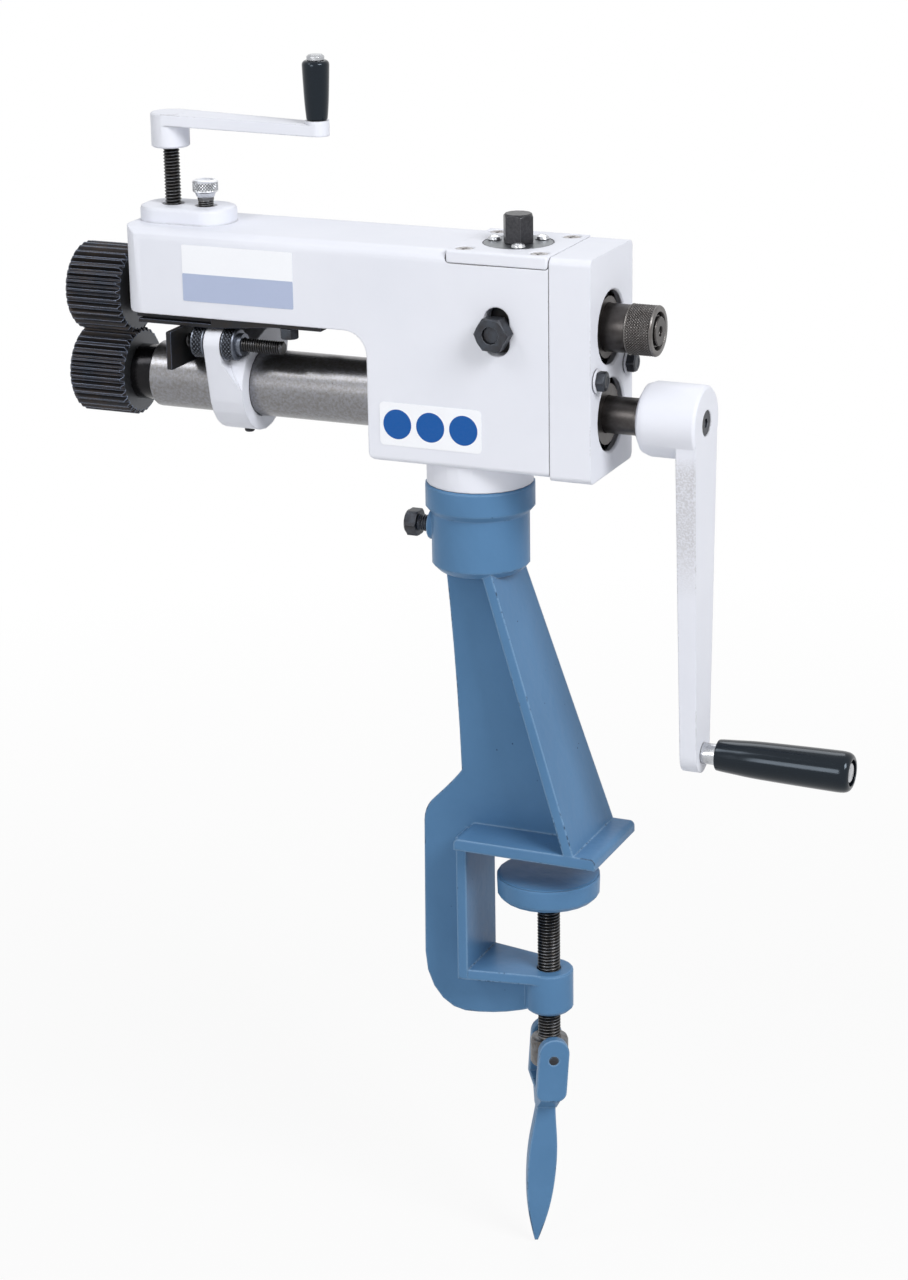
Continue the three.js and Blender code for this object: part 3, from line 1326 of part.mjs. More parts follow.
// Knurled nuts on both sides of the near lobe and the gauge rod with its plate
function gaugeRod(group) {
  const x0 = noseX + bracketToNose;
  const x1 = x0 + nearLobeThickness;
  const inner = gaugeRodRadius + seatGap;
  const faceRadius = gaugeNutRadius - 3;
  const sides = [['left', x0 - seatGap, -1, gaugeNutFace], ['right', x1 + seatGap, 1, gaugeNutCollar]];
  for (const [side, seat, sign, collar] of sides) {
    const nut = turnedX([
      [0, inner],
      [0, gaugeNutRadius - 0.8],
      [0.8, gaugeNutRadius],
      [gaugeNutLength - 0.8, gaugeNutRadius],
      [gaugeNutLength, gaugeNutRadius - 0.8],
      [gaugeNutLength, faceRadius],
      [gaugeNutLength + collar, faceRadius],
      [gaugeNutLength + collar, inner],
      [0, inner],
    ], 20);
    const mesh = piece(`gauge_nut_${side}`, nut, blackSteel, group);
    mesh.position.x = seat;
    mesh.rotation.z = sign > 0 ? 0 : Math.PI;
  }
  const plateEnd = x0 - seatGap - gaugeNutLength - gaugeNutFace - gaugePlateGap;
  const rodStart = plateEnd + seatGap;
  const rod = bevelledRodZ(gaugeRodRadius, rodStart, rodStart + gaugeRodLength, 0.6, 0.8, 16);
  piece('gauge_rod', rod.rotate([0, 90, 0]), blackSteel, group);
  const [nearEdge, farEdge] = [-1, 1].map((sign) => sign * gaugePlateWidth / 2 - gaugePlateForward);
  const [plateLow, plateHigh] = [-1, 1].map((sign) => sign * gaugePlateHeight / 2 - gaugePlateDrop);
  const outline = rounded(nearEdge, farEdge, plateLow, plateHigh, 1);
  const plate = prismX(outline, plateEnd - gaugePlateThickness, plateEnd, 2);
  piece('gauge_plate', plate, blackSteel, group);
}

// Assembly: the stand, the clamp under it and the head that swivels on it
piece('stand_casting', standCasting(), bluePaint, model);
swivelBolt();
const pad = groupAt(model, 0, 0, padTop);
clampPad(pad);
const screwTurn = groupAt(model, 0, 0, 0);
screwTurn.rotation.z = radians(forkTurn);
clampScrew(screwTurn);
const fork = groupAt(screwTurn, 0, 0, -screwHeadBelowSeat - forkPinBelowHeadTop);
fork.rotation.y = radians(forkSwing);
forkHandle(fork);

const head = groupAt(model, -clampScrewToColumn, 0, headBottom);
piece('head_casting', headCasting(), whitePaint, head);
gearCover(head);
coverBolts(head);
coverPlate(head);
adjustFlange(head);
leafSprings(head);
const lowerAxis = groupAt(head, 0, 0, lowerShaftHeight);
spindleTube(lowerAxis);
lowerShaft(lowerAxis);
crankArm(lowerAxis);
crankGrip(lowerAxis);
gaugeBracket(lowerAxis);
const rodAxis = groupAt(lowerAxis, 0, -lobeSide, lobeAboveTube);
gaugeRod(rodAxis);
const upperAxis = groupAt(head, 0, 0, upperShaftHeight);
bearingBlocks(upperAxis);
sideNut(upperAxis);
upperShaft(upperAxis);
pressScrew(groupAt(head, pressScrewX, 0, 0));
lockScrew(groupAt(head, lockScrewX, 0, 0));
adjustScrew(groupAt(head, rearBlockToColumn, 0, 0));

export default model;
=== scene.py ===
import math
import bpy
import bmesh
from mathutils import Matrix, Vector


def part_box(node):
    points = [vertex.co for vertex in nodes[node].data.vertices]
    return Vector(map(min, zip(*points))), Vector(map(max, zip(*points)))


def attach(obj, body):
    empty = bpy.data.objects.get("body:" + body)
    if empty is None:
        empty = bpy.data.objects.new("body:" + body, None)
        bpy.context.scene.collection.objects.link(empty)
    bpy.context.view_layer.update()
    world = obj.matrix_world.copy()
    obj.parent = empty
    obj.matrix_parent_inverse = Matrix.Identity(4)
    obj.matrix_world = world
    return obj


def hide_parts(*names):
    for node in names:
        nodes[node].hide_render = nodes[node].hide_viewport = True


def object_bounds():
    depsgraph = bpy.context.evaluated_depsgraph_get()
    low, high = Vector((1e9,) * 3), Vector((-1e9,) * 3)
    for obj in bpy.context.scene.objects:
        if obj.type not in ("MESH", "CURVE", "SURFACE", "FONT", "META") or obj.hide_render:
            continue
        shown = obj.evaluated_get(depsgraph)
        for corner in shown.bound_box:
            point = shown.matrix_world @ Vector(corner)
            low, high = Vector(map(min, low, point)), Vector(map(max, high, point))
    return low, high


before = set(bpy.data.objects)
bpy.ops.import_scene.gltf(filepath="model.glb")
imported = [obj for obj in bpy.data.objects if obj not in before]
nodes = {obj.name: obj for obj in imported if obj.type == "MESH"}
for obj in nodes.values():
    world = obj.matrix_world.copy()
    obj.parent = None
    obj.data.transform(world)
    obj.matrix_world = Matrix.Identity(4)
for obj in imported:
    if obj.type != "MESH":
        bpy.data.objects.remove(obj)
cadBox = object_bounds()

mm = 0.001
smoothAngle = 35  # degrees; a sharper turn of the surface shows as a crisp edge

# Camera, fitted to the photograph: place and sensor in millimetres, angles in degrees, focal length and
# the picture's long side in pixels
view = {"place": (642.9, -1591.8, 711.3), "yaw": 23.8, "pitch": 18.8, "roll": -0.9, "focal": 3120.6,
        "longSide": 1280, "sensor": 36}


def makeCamera(cfg):
    data = bpy.data.cameras.new("camera")
    data.sensor_width = cfg["sensor"]
    data.lens = cfg["focal"] / cfg["longSide"] * cfg["sensor"]  # the sensor lies along the long side
    data.clip_end = 60
    camera = bpy.data.objects.new("camera", data)
    bpy.context.scene.collection.objects.link(camera)
    yaw, pitch, roll = (math.radians(cfg[k]) for k in ("yaw", "pitch", "roll"))
    right = Vector((math.cos(yaw), math.sin(yaw), 0))
    back = Vector((math.sin(yaw) * math.cos(pitch), -math.cos(yaw) * math.cos(pitch), math.sin(pitch)))
    up = back.cross(right)
    x = right * math.cos(roll) + up * math.sin(roll)
    y = -right * math.sin(roll) + up * math.cos(roll)
    place = Matrix((x, y, back)).transposed().to_4x4()
    place.translation = Vector(cfg["place"]) * mm
    camera.matrix_world = place
    bpy.context.scene.camera = camera


makeCamera(view)
print("camera done")


def linear(text):
    parts = [int(text[i:i + 2], 16) / 255 for i in (1, 3, 5)]
    return tuple(p / 12.92 if p <= 0.04045 else ((p + 0.055) / 1.055) ** 2.4 for p in parts) + (1,)


# adds one node, sets its settings, and fills its inputs with numbers or with other nodes' outputs
def addNode(tree, kind, inputs=None, **settings):
    node = tree.nodes.new(kind)
    for name, value in settings.items():
        setattr(node, name, value)
    for key, value in (inputs or {}).items():
        if isinstance(value, bpy.types.NodeSocket):
            tree.links.new(value, node.inputs[key])
        else:
            node.inputs[key].default_value = value
    return node


# empty material with its shader and the coordinates of the piece, in metres
def startMaterial(name):
    material = bpy.data.materials.new(name)
    material.use_nodes = True
    tree = material.node_tree
    tree.nodes.clear()
    shader = addNode(tree, "ShaderNodeBsdfPrincipled")
    addNode(tree, "ShaderNodeOutputMaterial", {0: shader.outputs[0]})
    place = addNode(tree, "ShaderNodeTexCoord").outputs["Object"]
    return material, tree, shader, place


# where the surface turns over an edge: 0 on the flat, 1 on the edge, and the rounded normal itself. The
# turn is a cosine, and an edge begins at the first value and is full at the second
def edgeOf(tree, radius):
    bevel = addNode(tree, "ShaderNodeBevel", {"Radius": radius * mm}, samples=6).outputs[0]
    flat = addNode(tree, "ShaderNodeNewGeometry").outputs["Normal"]
    turn = addNode(tree, "ShaderNodeVectorMath", {0: bevel, 1: flat}, operation="DOT_PRODUCT")
    edge = addNode(tree, "ShaderNodeMapRange", {0: turn.outputs["Value"], 1: 0.97, 2: 0.8}).outputs[0]
    return edge, bevel


# surface of a sprayed coat: a gloss that follows a pattern, the casting's lumps and, over them, the
# fine orange peel of the spray
def coatSurface(tree, shader, place, cfg, pattern, bevel):
    gloss = addNode(tree, "ShaderNodeMapRange", {0: pattern, 3: cfg["rough"][0], 4: cfg["rough"][1]})
    tree.links.new(gloss.outputs[0], shader.inputs["Roughness"])
    lump = addNode(tree, "ShaderNodeTexNoise", {"Vector": place, "Scale": 1000 / cfg["lump"], "Detail": 2})
    peel = addNode(tree, "ShaderNodeTexNoise", {"Vector": place, "Scale": 1000 / cfg["peel"], "Detail": 1})
    strength, depth = cfg["lumpBump"]
    broad = addNode(tree, "ShaderNodeBump", {
        "Strength": strength, "Distance": depth * mm, "Height": lump.outputs[0], "Normal": bevel})
    strength, depth = cfg["peelBump"]
    fine = addNode(tree, "ShaderNodeBump", {
        "Strength": strength, "Distance": depth * mm, "Height": peel.outputs[0], "Normal": broad.outputs[0]})
    tree.links.new(fine.outputs[0], shader.inputs["Normal"])
    shader.inputs["IOR"].default_value = 1.5
    shader.inputs["Specular IOR Level"].default_value = cfg["mirror"]


# Cast iron under sprayed white enamel: a cool, slightly uneven white, satin, with the sand casting's
# lumps under it, brownish grime and painted shade in the seams, near black in the deepest gaps as dark
# joints and painted shade, and grey scuffs where metal has rubbed along edges. Grain sizes, the edge's
# radius and the reach of the seam darkening are in millimetres, the pairs say where a pattern begins
# and where it is full, and a bump is its strength and its depth
whitePaint = {
    "coat": "#E6E8F0", "shade": "#DBDEE8", "grimeAndShade": "#6E6052", "seamDirtAndShade": "#221B17", "scuff": "#A5A2A2",
    "cloud": 70, "lump": 9, "peel": 0.9, "grimeGrain": 5, "scuffGrain": 2.2, "scuffPatch": 26,
    "edge": 1.2, "seam": 3.5, "scuffed": (0.29, 0.34), "hollow": (0.62, 0.12), "broken": (0.4, 0.62),
    "deep": (0.42, 0.14), "wear": 0.35, "rub": None, "rough": (0.42, 0.56), "mirror": 0.3,
    "lumpBump": (0.25, 0.35), "peelBump": (0.12, 0.06),
}
# the crank: handled more, with a grey patch on its near side where the paint is rubbed thin, between
# two heights and where the surface faces the front
crankPaint = dict(whitePaint, wear=0.5, rub={
    "heights": (165, 250), "fade": (35, 10), "facing": (-0.55, -0.9), "pores": 1.1,
    "thinned": (0.36, 0.6, 0.12, 0.5)})
# screw heads painted over with the plate and turned again since: thin, worn paint, and slots and rings
# darkened by dirt and painted shade
screwHeadPaint = dict(whitePaint, coat="#C9C8CB", shade="#AFACAC", seam=5, wear=1)


# how far the paint is rubbed thin, in fine pores
def rubbedPatch(tree, place, cfg):
    (low, high), (lowFade, highFade) = cfg["heights"], cfg["fade"]
    height = addNode(tree, "ShaderNodeSeparateXYZ", {0: place}).outputs["Z"]
    flat = addNode(tree, "ShaderNodeNewGeometry").outputs["Normal"]
    facing = addNode(tree, "ShaderNodeSeparateXYZ", {0: flat}).outputs["Y"]
    above = addNode(tree, "ShaderNodeMapRange", {0: height, 1: low * mm, 2: (low + lowFade) * mm})
    below = addNode(tree, "ShaderNodeMapRange", {0: height, 1: high * mm, 2: (high - highFade) * mm})
    near = addNode(tree, "ShaderNodeMapRange", {0: facing, 1: cfg["facing"][0], 2: cfg["facing"][1]})
    pores = addNode(tree, "ShaderNodeTexNoise", {"Vector": place, "Scale": 1000 / cfg["pores"], "Detail": 3})
    few, many, least, most = cfg["thinned"]
    grit = addNode(tree, "ShaderNodeMapRange", {0: pores.outputs[0], 1: few, 2: many, 3: least, 4: most})
    patch = above
    for limit in (below, near, grit):
        patch = addNode(tree, "ShaderNodeMath", {0: patch.outputs[0], 1: limit.outputs[0]}, operation="MULTIPLY")
    return patch.outputs[0]


def whiteEnamel(name, cfg):
    material, tree, shader, place = startMaterial(name)
    cloud = addNode(tree, "ShaderNodeTexNoise", {"Vector": place, "Scale": 1000 / cfg["cloud"], "Detail": 3})
    base = addNode(tree, "ShaderNodeMix", {
        0: cloud.outputs[0], 6: linear(cfg["shade"]), 7: linear(cfg["coat"])}, data_type="RGBA").outputs[2]
    edge, bevel = edgeOf(tree, cfg["edge"])
    scuffs = addNode(tree, "ShaderNodeTexNoise", {
        "Vector": place, "Scale": 1000 / cfg["scuffGrain"], "Detail": 5, "Roughness": 0.7})
    patchy = addNode(tree, "ShaderNodeTexNoise", {
        "Vector": place, "Scale": 1000 / cfg["scuffPatch"], "Detail": 2})
    spots = addNode(tree, "ShaderNodeMath", {0: scuffs.outputs[0], 1: patchy.outputs[0]}, operation="MULTIPLY")
    worn = addNode(tree, "ShaderNodeMapRange", {
        0: spots.outputs[0], 1: cfg["scuffed"][0], 2: cfg["scuffed"][1]})
    rubbed = addNode(tree, "ShaderNodeMath", {0: worn.outputs[0], 1: edge}, operation="MULTIPLY")
    amount = addNode(tree, "ShaderNodeMath", {
        0: rubbed.outputs[0], 1: cfg["wear"] * 2}, operation="MULTIPLY").outputs[0]
    if cfg["rub"]:
        patch = rubbedPatch(tree, place, cfg["rub"])
        amount = addNode(tree, "ShaderNodeMath", {0: amount, 1: patch}, operation="MAXIMUM").outputs[0]
    scuffed = addNode(tree, "ShaderNodeMix", {
        0: amount, 6: base, 7: linear(cfg["scuff"])}, data_type="RGBA").outputs[2]
    # darker where ambient occlusion finds surfaces closing in: brownish grime and painted shade in the seams,
    # broken up by grain, and near black in the deepest gaps as dark joints and painted shade
    hollow = addNode(tree, "ShaderNodeAmbientOcclusion", {"Distance": cfg["seam"] * mm}, samples=4).outputs["AO"]
    closed = addNode(tree, "ShaderNodeMapRange", {0: hollow, 1: cfg["hollow"][0], 2: cfg["hollow"][1]})
    grain = addNode(tree, "ShaderNodeTexNoise", {
        "Vector": place, "Scale": 1000 / cfg["grimeGrain"], "Detail": 4, "Roughness": 0.65}).outputs[0]
    broken = addNode(tree, "ShaderNodeMapRange", {0: grain, 1: cfg["broken"][0], 2: cfg["broken"][1]})
    dirtAndShade = addNode(tree, "ShaderNodeMath", {0: closed.outputs[0], 1: broken.outputs[0]}, operation="MULTIPLY")
    colour = addNode(tree, "ShaderNodeMix", {
        0: dirtAndShade.outputs[0], 6: scuffed, 7: linear(cfg["grimeAndShade"])}, data_type="RGBA").outputs[2]
    deep = addNode(tree, "ShaderNodeMapRange", {0: hollow, 1: cfg["deep"][0], 2: cfg["deep"][1]})
    colour = addNode(tree, "ShaderNodeMix", {
        0: deep.outputs[0], 6: colour, 7: linear(cfg["seamDirtAndShade"])}, data_type="RGBA").outputs[2]
    tree.links.new(colour, shader.inputs["Base Color"])
    coatSurface(tree, shader, place, cfg, grain, bevel)
    return material


# Cast iron under sprayed blue enamel: a thicker, smoother coat with a painted highlight along the
# edges, dark specks of grit, small chips on the corners, and the specks' colour again in the seams as
# dirt and painted shade. Units as for the white enamel
bluePaint = {
    "coat": "#5A83AB", "shade": "#4C7399", "edgeHighlight": "#8DAFD2", "speckAndShade": "#1E2F48", "chip": "#2C2F36",
    "cloud": 55, "lump": 11, "peel": 1.1, "speckGap": 6, "speckPatch": 18, "chipGrain": 3.2, "chipPatch": 30,
    "edge": 2.2, "seam": 3, "highlightShare": 0.8, "speckRadius": (0.5, 0.72, 0.0, 0.1), "chipped": (0.31, 0.35),
    "corner": (0.35, 0.8), "hollow": (0.6, 0.1, 0, 0.8), "rough": (0.28, 0.42), "mirror": 0.12,
    "lumpBump": (0.6, 0.6), "peelBump": (0.15, 0.08),
}


def blueEnamel(name, cfg):
    material, tree, shader, place = startMaterial(name)
    cloud = addNode(tree, "ShaderNodeTexNoise", {"Vector": place, "Scale": 1000 / cfg["cloud"], "Detail": 4})
    base = addNode(tree, "ShaderNodeMix", {
        0: cloud.outputs[0], 6: linear(cfg["shade"]), 7: linear(cfg["coat"])}, data_type="RGBA").outputs[2]
    edge, bevel = edgeOf(tree, cfg["edge"])
    # painted highlight along the edges
    highlighted = addNode(tree, "ShaderNodeMath", {0: edge, 1: cfg["highlightShare"]}, operation="MULTIPLY")
    base = addNode(tree, "ShaderNodeMix", {
        0: highlighted.outputs[0], 6: base, 7: linear(cfg["edgeHighlight"])}, data_type="RGBA").outputs[2]
    grit = addNode(tree, "ShaderNodeTexVoronoi", {"Vector": place, "Scale": 1000 / cfg["speckGap"]})
    chance = addNode(tree, "ShaderNodeTexNoise", {
        "Vector": place, "Scale": 1000 / cfg["speckPatch"], "Detail": 1})
    few, many, least, most = cfg["speckRadius"]
    size = addNode(tree, "ShaderNodeMapRange", {0: chance.outputs[0], 1: few, 2: many, 3: least, 4: most})
    dots = addNode(tree, "ShaderNodeMath", {
        0: grit.outputs["Distance"], 1: size.outputs[0]}, operation="LESS_THAN")
    base = addNode(tree, "ShaderNodeMix", {
        0: dots.outputs[0], 6: base, 7: linear(cfg["speckAndShade"])}, data_type="RGBA").outputs[2]
    rough = addNode(tree, "ShaderNodeTexNoise", {
        "Vector": place, "Scale": 1000 / cfg["chipGrain"], "Detail": 5, "Roughness": 0.7}).outputs[0]
    patchy = addNode(tree, "ShaderNodeTexNoise", {
        "Vector": place, "Scale": 1000 / cfg["chipPatch"], "Detail": 2})
    spots = addNode(tree, "ShaderNodeMath", {0: rough, 1: patchy.outputs[0]}, operation="MULTIPLY")
    chips = addNode(tree, "ShaderNodeMapRange", {
        0: spots.outputs[0], 1: cfg["chipped"][0], 2: cfg["chipped"][1]})
    corner = addNode(tree, "ShaderNodeMapRange", {0: edge, 1: cfg["corner"][0], 2: cfg["corner"][1]})
    chips = addNode(tree, "ShaderNodeMath", {0: chips.outputs[0], 1: corner.outputs[0]}, operation="MULTIPLY")
    base = addNode(tree, "ShaderNodeMix", {
        0: chips.outputs[0], 6: base, 7: linear(cfg["chip"])}, data_type="RGBA").outputs[2]
    # seams and creases darkened with the specks' colour where ambient occlusion finds them: partly dirt, partly
    # painted shade
    hollow = addNode(tree, "ShaderNodeAmbientOcclusion", {"Distance": cfg["seam"] * mm}, samples=4)
    wide, shut, least, most = cfg["hollow"]
    closed = addNode(tree, "ShaderNodeMapRange", {
        0: hollow.outputs["AO"], 1: wide, 2: shut, 3: least, 4: most})
    base = addNode(tree, "ShaderNodeMix", {
        0: closed.outputs[0], 6: base, 7: linear(cfg["speckAndShade"])}, data_type="RGBA").outputs[2]
    tree.links.new(base, shader.inputs["Base Color"])
    coatSurface(tree, shader, place, cfg, rough, bevel)
    return material


# Steel and bronze, machined: each has its colour, a second colour in blotches, a lighter colour on
# the edges that is partly polish from wear and partly painted highlight, and fine turning marks that
# run round one axis. Sizes and the depth of a root are in millimetres, and below is what each one is
# and what that gives the eye
machined = {"metal": 0.85, "rough": (0.3, 0.42), "marks": 0.0, "axis": "X", "blotched": (0.38, 0.64),
            "polishAndGlint": 0.75, "grain": 1.6, "grainBump": (0.25, 0.05), "rootStart": 0.15}
# crimping rolls, hobbed and blacked: nearly black, with a painted bluish glint on the crests, partly
# rubbed bright, a trace of rust, and greyer on the ground end faces
rollSteel = dict(machined, base="#2A2B2F", blotch="#38322F", edge="#93A1BC", edgeSize=0.8, metal=0.8,
                 rough=(0.34, 0.52), blotchSize=12, ends="#5C5E62", endFacing=(0.9, 0.97))
# flat and turned parts blacked with oxide: a dull dark grey
blackSteel = dict(machined, base="#2B2D31", blotch="#2F2C2B", edge="#76809A", edgeSize=0.5, metal=0.8,
                  rough=(0.35, 0.55), blotchSize=8)
# ring between roll and tube, polished before blacking: black with sharp reflections
glossBlackSteel = dict(machined, base="#17171A", blotch="#1F1E20", edge="#6E737C", edgeSize=0.5, metal=0.8,
                       rough=(0.15, 0.28), blotchSize=10)
# cut threads, oiled: bright crests, partly painted highlight, and black in the roots, partly grease and
# partly painted shade
threadSteel = dict(machined, base="#707276", blotch="#56524E", edge="#8C8D90", edgeSize=0.1, rough=(0.3, 0.45),
                   blotchSize=4, axis="Z", root="#0C0B0B", rootDepth=0.55)
# rolled thread of the gauge's rod, blacked: darker crests
rodSteel = dict(threadSteel, base="#4A4B4F", blotch="#3C3A38", edge="#7A7C80", axis="X")
# knurled nuts, blacked: bluish grey points, partly painted glint, over grooves darkened by grease and
# painted shade
nutSteel = dict(machined, base="#6A6F7A", blotch="#565B64", edge="#9AA4B5", edgeSize=0.1, blotchSize=5,
                root="#0D0E11", rootDepth=0.6)
# hexagon heads, forged and blacked: dark grey, lighter on the corners
hexSteel = dict(machined, base="#42464D", blotch="#38383B", edge="#7F858E", edgeSize=0.4, rough=(0.35, 0.5),
                blotchSize=6, axis="Z")
# drawn hexagon bar of the adjusting screw: grey, with a fine mottle
postSteel = dict(machined, base="#454548", blotch="#37373A", edge="#85878C", edgeSize=0.3, metal=0.8,
                 rough=(0.28, 0.42), blotchSize=1.6, axis="Z")
# flange plated with zinc, gone dull
flangeSteel = dict(machined, base="#7C8085", blotch="#62666B", edge="#B9BDC2", edgeSize=0.4, metal=0.95,
                   blotchSize=9, axis="Z")
# shafts and gears, turned and oiled: warm dark grey with faint rings
shaftSteel = dict(machined, base="#524F4E", blotch="#413E3D", edge="#8F8D8C", edgeSize=0.5, metal=0.95,
                  blotchSize=12, marks=0.35)
# knurled end of the upper shaft, oiled: a grey net of points over grooves darkened by grease and
# painted shade
knurlSteel = dict(machined, base="#737170", blotch="#5E5A58", edge="#B4B3B3", edgeSize=0.22, metal=0.9,
                  blotchSize=7, root="#322F2E", rootDepth=0.65)
# drawn tube, bright and slightly stained: long soft reflections, mottled grey
tubeSteel = dict(machined, base="#8C8D92", blotch="#7A7877", edge="#B4B6BA", edgeSize=0.5, metal=0.95,
                 rough=(0.24, 0.36), blotchSize=1.7, marks=0.7)
# knurled knob plated with zinc: silver points over grooves darkened by painted shade
knobSteel = dict(machined, base="#E6E8EC", blotch="#D2D4D8", edge="#F2F3F5", edgeSize=0.1, metal=1.0,
                 blotchSize=6, axis="Z", root="#2C2D30", rootDepth=0.55)
# small screws and pins plated with zinc: bright silver
zincSteel = dict(machined, base="#C6C8CC", blotch="#A9ABAF", edge="#E2E4E8", edgeSize=0.4, metal=1.0,
                 rough=(0.2, 0.35), blotchSize=6, axis="Z")
# bushes of turned bronze: brownish gold with faint rings
bushBronze = dict(machined, base="#B08A4E", blotch="#8F6C3A", edge="#D9B97C", edgeSize=0.4, metal=1.0,
                  rough=(0.3, 0.45), blotchSize=8, marks=0.4)


def machinedMetal(name, cfg):
    material, tree, shader, place = startMaterial(name)
    blotch = addNode(tree, "ShaderNodeTexNoise", {
        "Vector": place, "Scale": 1000 / cfg["blotchSize"], "Detail": 5, "Roughness": 0.65})
    share = addNode(tree, "ShaderNodeMapRange", {
        0: blotch.outputs[0], 1: cfg["blotched"][0], 2: cfg["blotched"][1]})
    base = addNode(tree, "ShaderNodeMix", {
        0: share.outputs[0], 6: linear(cfg["base"]), 7: linear(cfg["blotch"])}, data_type="RGBA").outputs[2]
    if "ends" in cfg:  # faces that look along the piece
        flat = addNode(tree, "ShaderNodeNewGeometry").outputs["Normal"]
        ends = addNode(tree, "ShaderNodeMath", {
            0: addNode(tree, "ShaderNodeSeparateXYZ", {0: flat}).outputs["X"]}, operation="ABSOLUTE")
        ends = addNode(tree, "ShaderNodeMapRange", {
            0: ends.outputs[0], 1: cfg["endFacing"][0], 2: cfg["endFacing"][1]})
        base = addNode(tree, "ShaderNodeMix", {
            0: ends.outputs[0], 6: base, 7: linear(cfg["ends"])}, data_type="RGBA").outputs[2]
    edge, bevel = edgeOf(tree, cfg["edgeSize"])
    # lighter edges, partly polish from wear and partly painted highlight
    rubbed = addNode(tree, "ShaderNodeMath", {0: edge, 1: cfg["polishAndGlint"]}, operation="MULTIPLY")
    colour = addNode(tree, "ShaderNodeMix", {
        0: rubbed.outputs[0], 6: base, 7: linear(cfg["edge"])}, data_type="RGBA").outputs[2]
    if "root" in cfg:  # grease and painted shade in the roots of a thread or a knurl
        sunk = addNode(tree, "ShaderNodeAttribute", attribute_name="sunk").outputs["Fac"]
        deep = addNode(tree, "ShaderNodeMapRange", {0: sunk, 1: cfg["rootStart"], 2: cfg["rootDepth"]})
        colour = addNode(tree, "ShaderNodeMix", {
            0: deep.outputs[0], 6: colour, 7: linear(cfg["root"])}, data_type="RGBA").outputs[2]
    tree.links.new(colour, shader.inputs["Base Color"])
    fine = addNode(tree, "ShaderNodeTexNoise", {"Vector": place, "Scale": 1000 / cfg["grain"], "Detail": 4})
    gloss = addNode(tree, "ShaderNodeMapRange", {0: fine.outputs[0], 3: cfg["rough"][0], 4: cfg["rough"][1]})
    tree.links.new(gloss.outputs[0], shader.inputs["Roughness"])
    # turning marks: noise squeezed along the axis, real marks of 0.1 mm drawn at 0.5 mm so that they show
    along = {"X": (2000, 60, 60), "Z": (60, 60, 2000)}[cfg["axis"]]
    squeezed = addNode(tree, "ShaderNodeMapping", {"Vector": place, "Scale": along})
    marks = addNode(tree, "ShaderNodeTexNoise", {"Vector": squeezed.outputs[0], "Scale": 1, "Detail": 2})
    grain = addNode(tree, "ShaderNodeMix", {
        0: cfg["marks"], 2: fine.outputs[0], 3: marks.outputs[0]}, data_type="FLOAT").outputs[0]
    strength, depth = cfg["grainBump"]
    bump = addNode(tree, "ShaderNodeBump", {
        "Strength": strength, "Distance": depth * mm, "Height": grain, "Normal": bevel})
    tree.links.new(bump.outputs[0], shader.inputs["Normal"])
    shader.inputs["Metallic"].default_value = cfg["metal"]
    return material


# Phenolic resin, moulded and polished: deep black, near mirror gloss, with faint hand haze and its
# reflections tinted bluish as a painted sheen
gripResin = {"colour": "#0A0F15", "haze": (0.1, 0.2), "hazeSize": 12, "mirror": 0.4, "sheenTint": "#D4E4F4"}


def mouldedResin(name, cfg):
    material, tree, shader, place = startMaterial(name)
    shader.inputs["Base Color"].default_value = linear(cfg["colour"])
    haze = addNode(tree, "ShaderNodeTexNoise", {"Vector": place, "Scale": 1000 / cfg["hazeSize"], "Detail": 4})
    gloss = addNode(tree, "ShaderNodeMapRange", {0: haze.outputs[0], 3: cfg["haze"][0], 4: cfg["haze"][1]})
    tree.links.new(gloss.outputs[0], shader.inputs["Roughness"])
    flow = addNode(tree, "ShaderNodeBump", {
        "Strength": 0.08, "Distance": 0.1 * mm, "Height": haze.outputs[0]})
    tree.links.new(flow.outputs[0], shader.inputs["Normal"])
    shader.inputs["IOR"].default_value = 1.5
    shader.inputs["Specular IOR Level"].default_value = cfg["mirror"]
    # bluish tint on the reflections: painted sheen
    shader.inputs["Specular Tint"].default_value = linear(cfg["sheenTint"])
    return material


# Printed vinyl film: flat colour under a satin film, faintly uneven where it was rubbed down
vinyl = {"fleck": "#8A8F9A", "fleckShare": 0.04, "fleckSize": 1.5, "waveSize": 14, "rough": (0.25, 0.38),
         "mirror": 0.25}


def printedVinyl(name, cfg, colour):
    material, tree, shader, place = startMaterial(name)
    ink = addNode(tree, "ShaderNodeTexNoise", {"Vector": place, "Scale": 1000 / cfg["fleckSize"], "Detail": 2})
    share = addNode(tree, "ShaderNodeMapRange", {0: ink.outputs[0], 3: 0.0, 4: cfg["fleckShare"]})
    shade = addNode(tree, "ShaderNodeMix", {
        0: share.outputs[0], 6: linear(colour), 7: linear(cfg["fleck"])}, data_type="RGBA").outputs[2]
    tree.links.new(shade, shader.inputs["Base Color"])
    film = addNode(tree, "ShaderNodeTexNoise", {"Vector": place, "Scale": 1000 / cfg["waveSize"], "Detail": 2})
    gloss = addNode(tree, "ShaderNodeMapRange", {0: film.outputs[0], 3: cfg["rough"][0], 4: cfg["rough"][1]})
    tree.links.new(gloss.outputs[0], shader.inputs["Roughness"])
    wave = addNode(tree, "ShaderNodeBump", {"Strength": 0.1, "Distance": 0.1 * mm, "Height": film.outputs[0]})
    tree.links.new(wave.outputs[0], shader.inputs["Normal"])
    shader.inputs["Specular IOR Level"].default_value = cfg["mirror"]
    return material


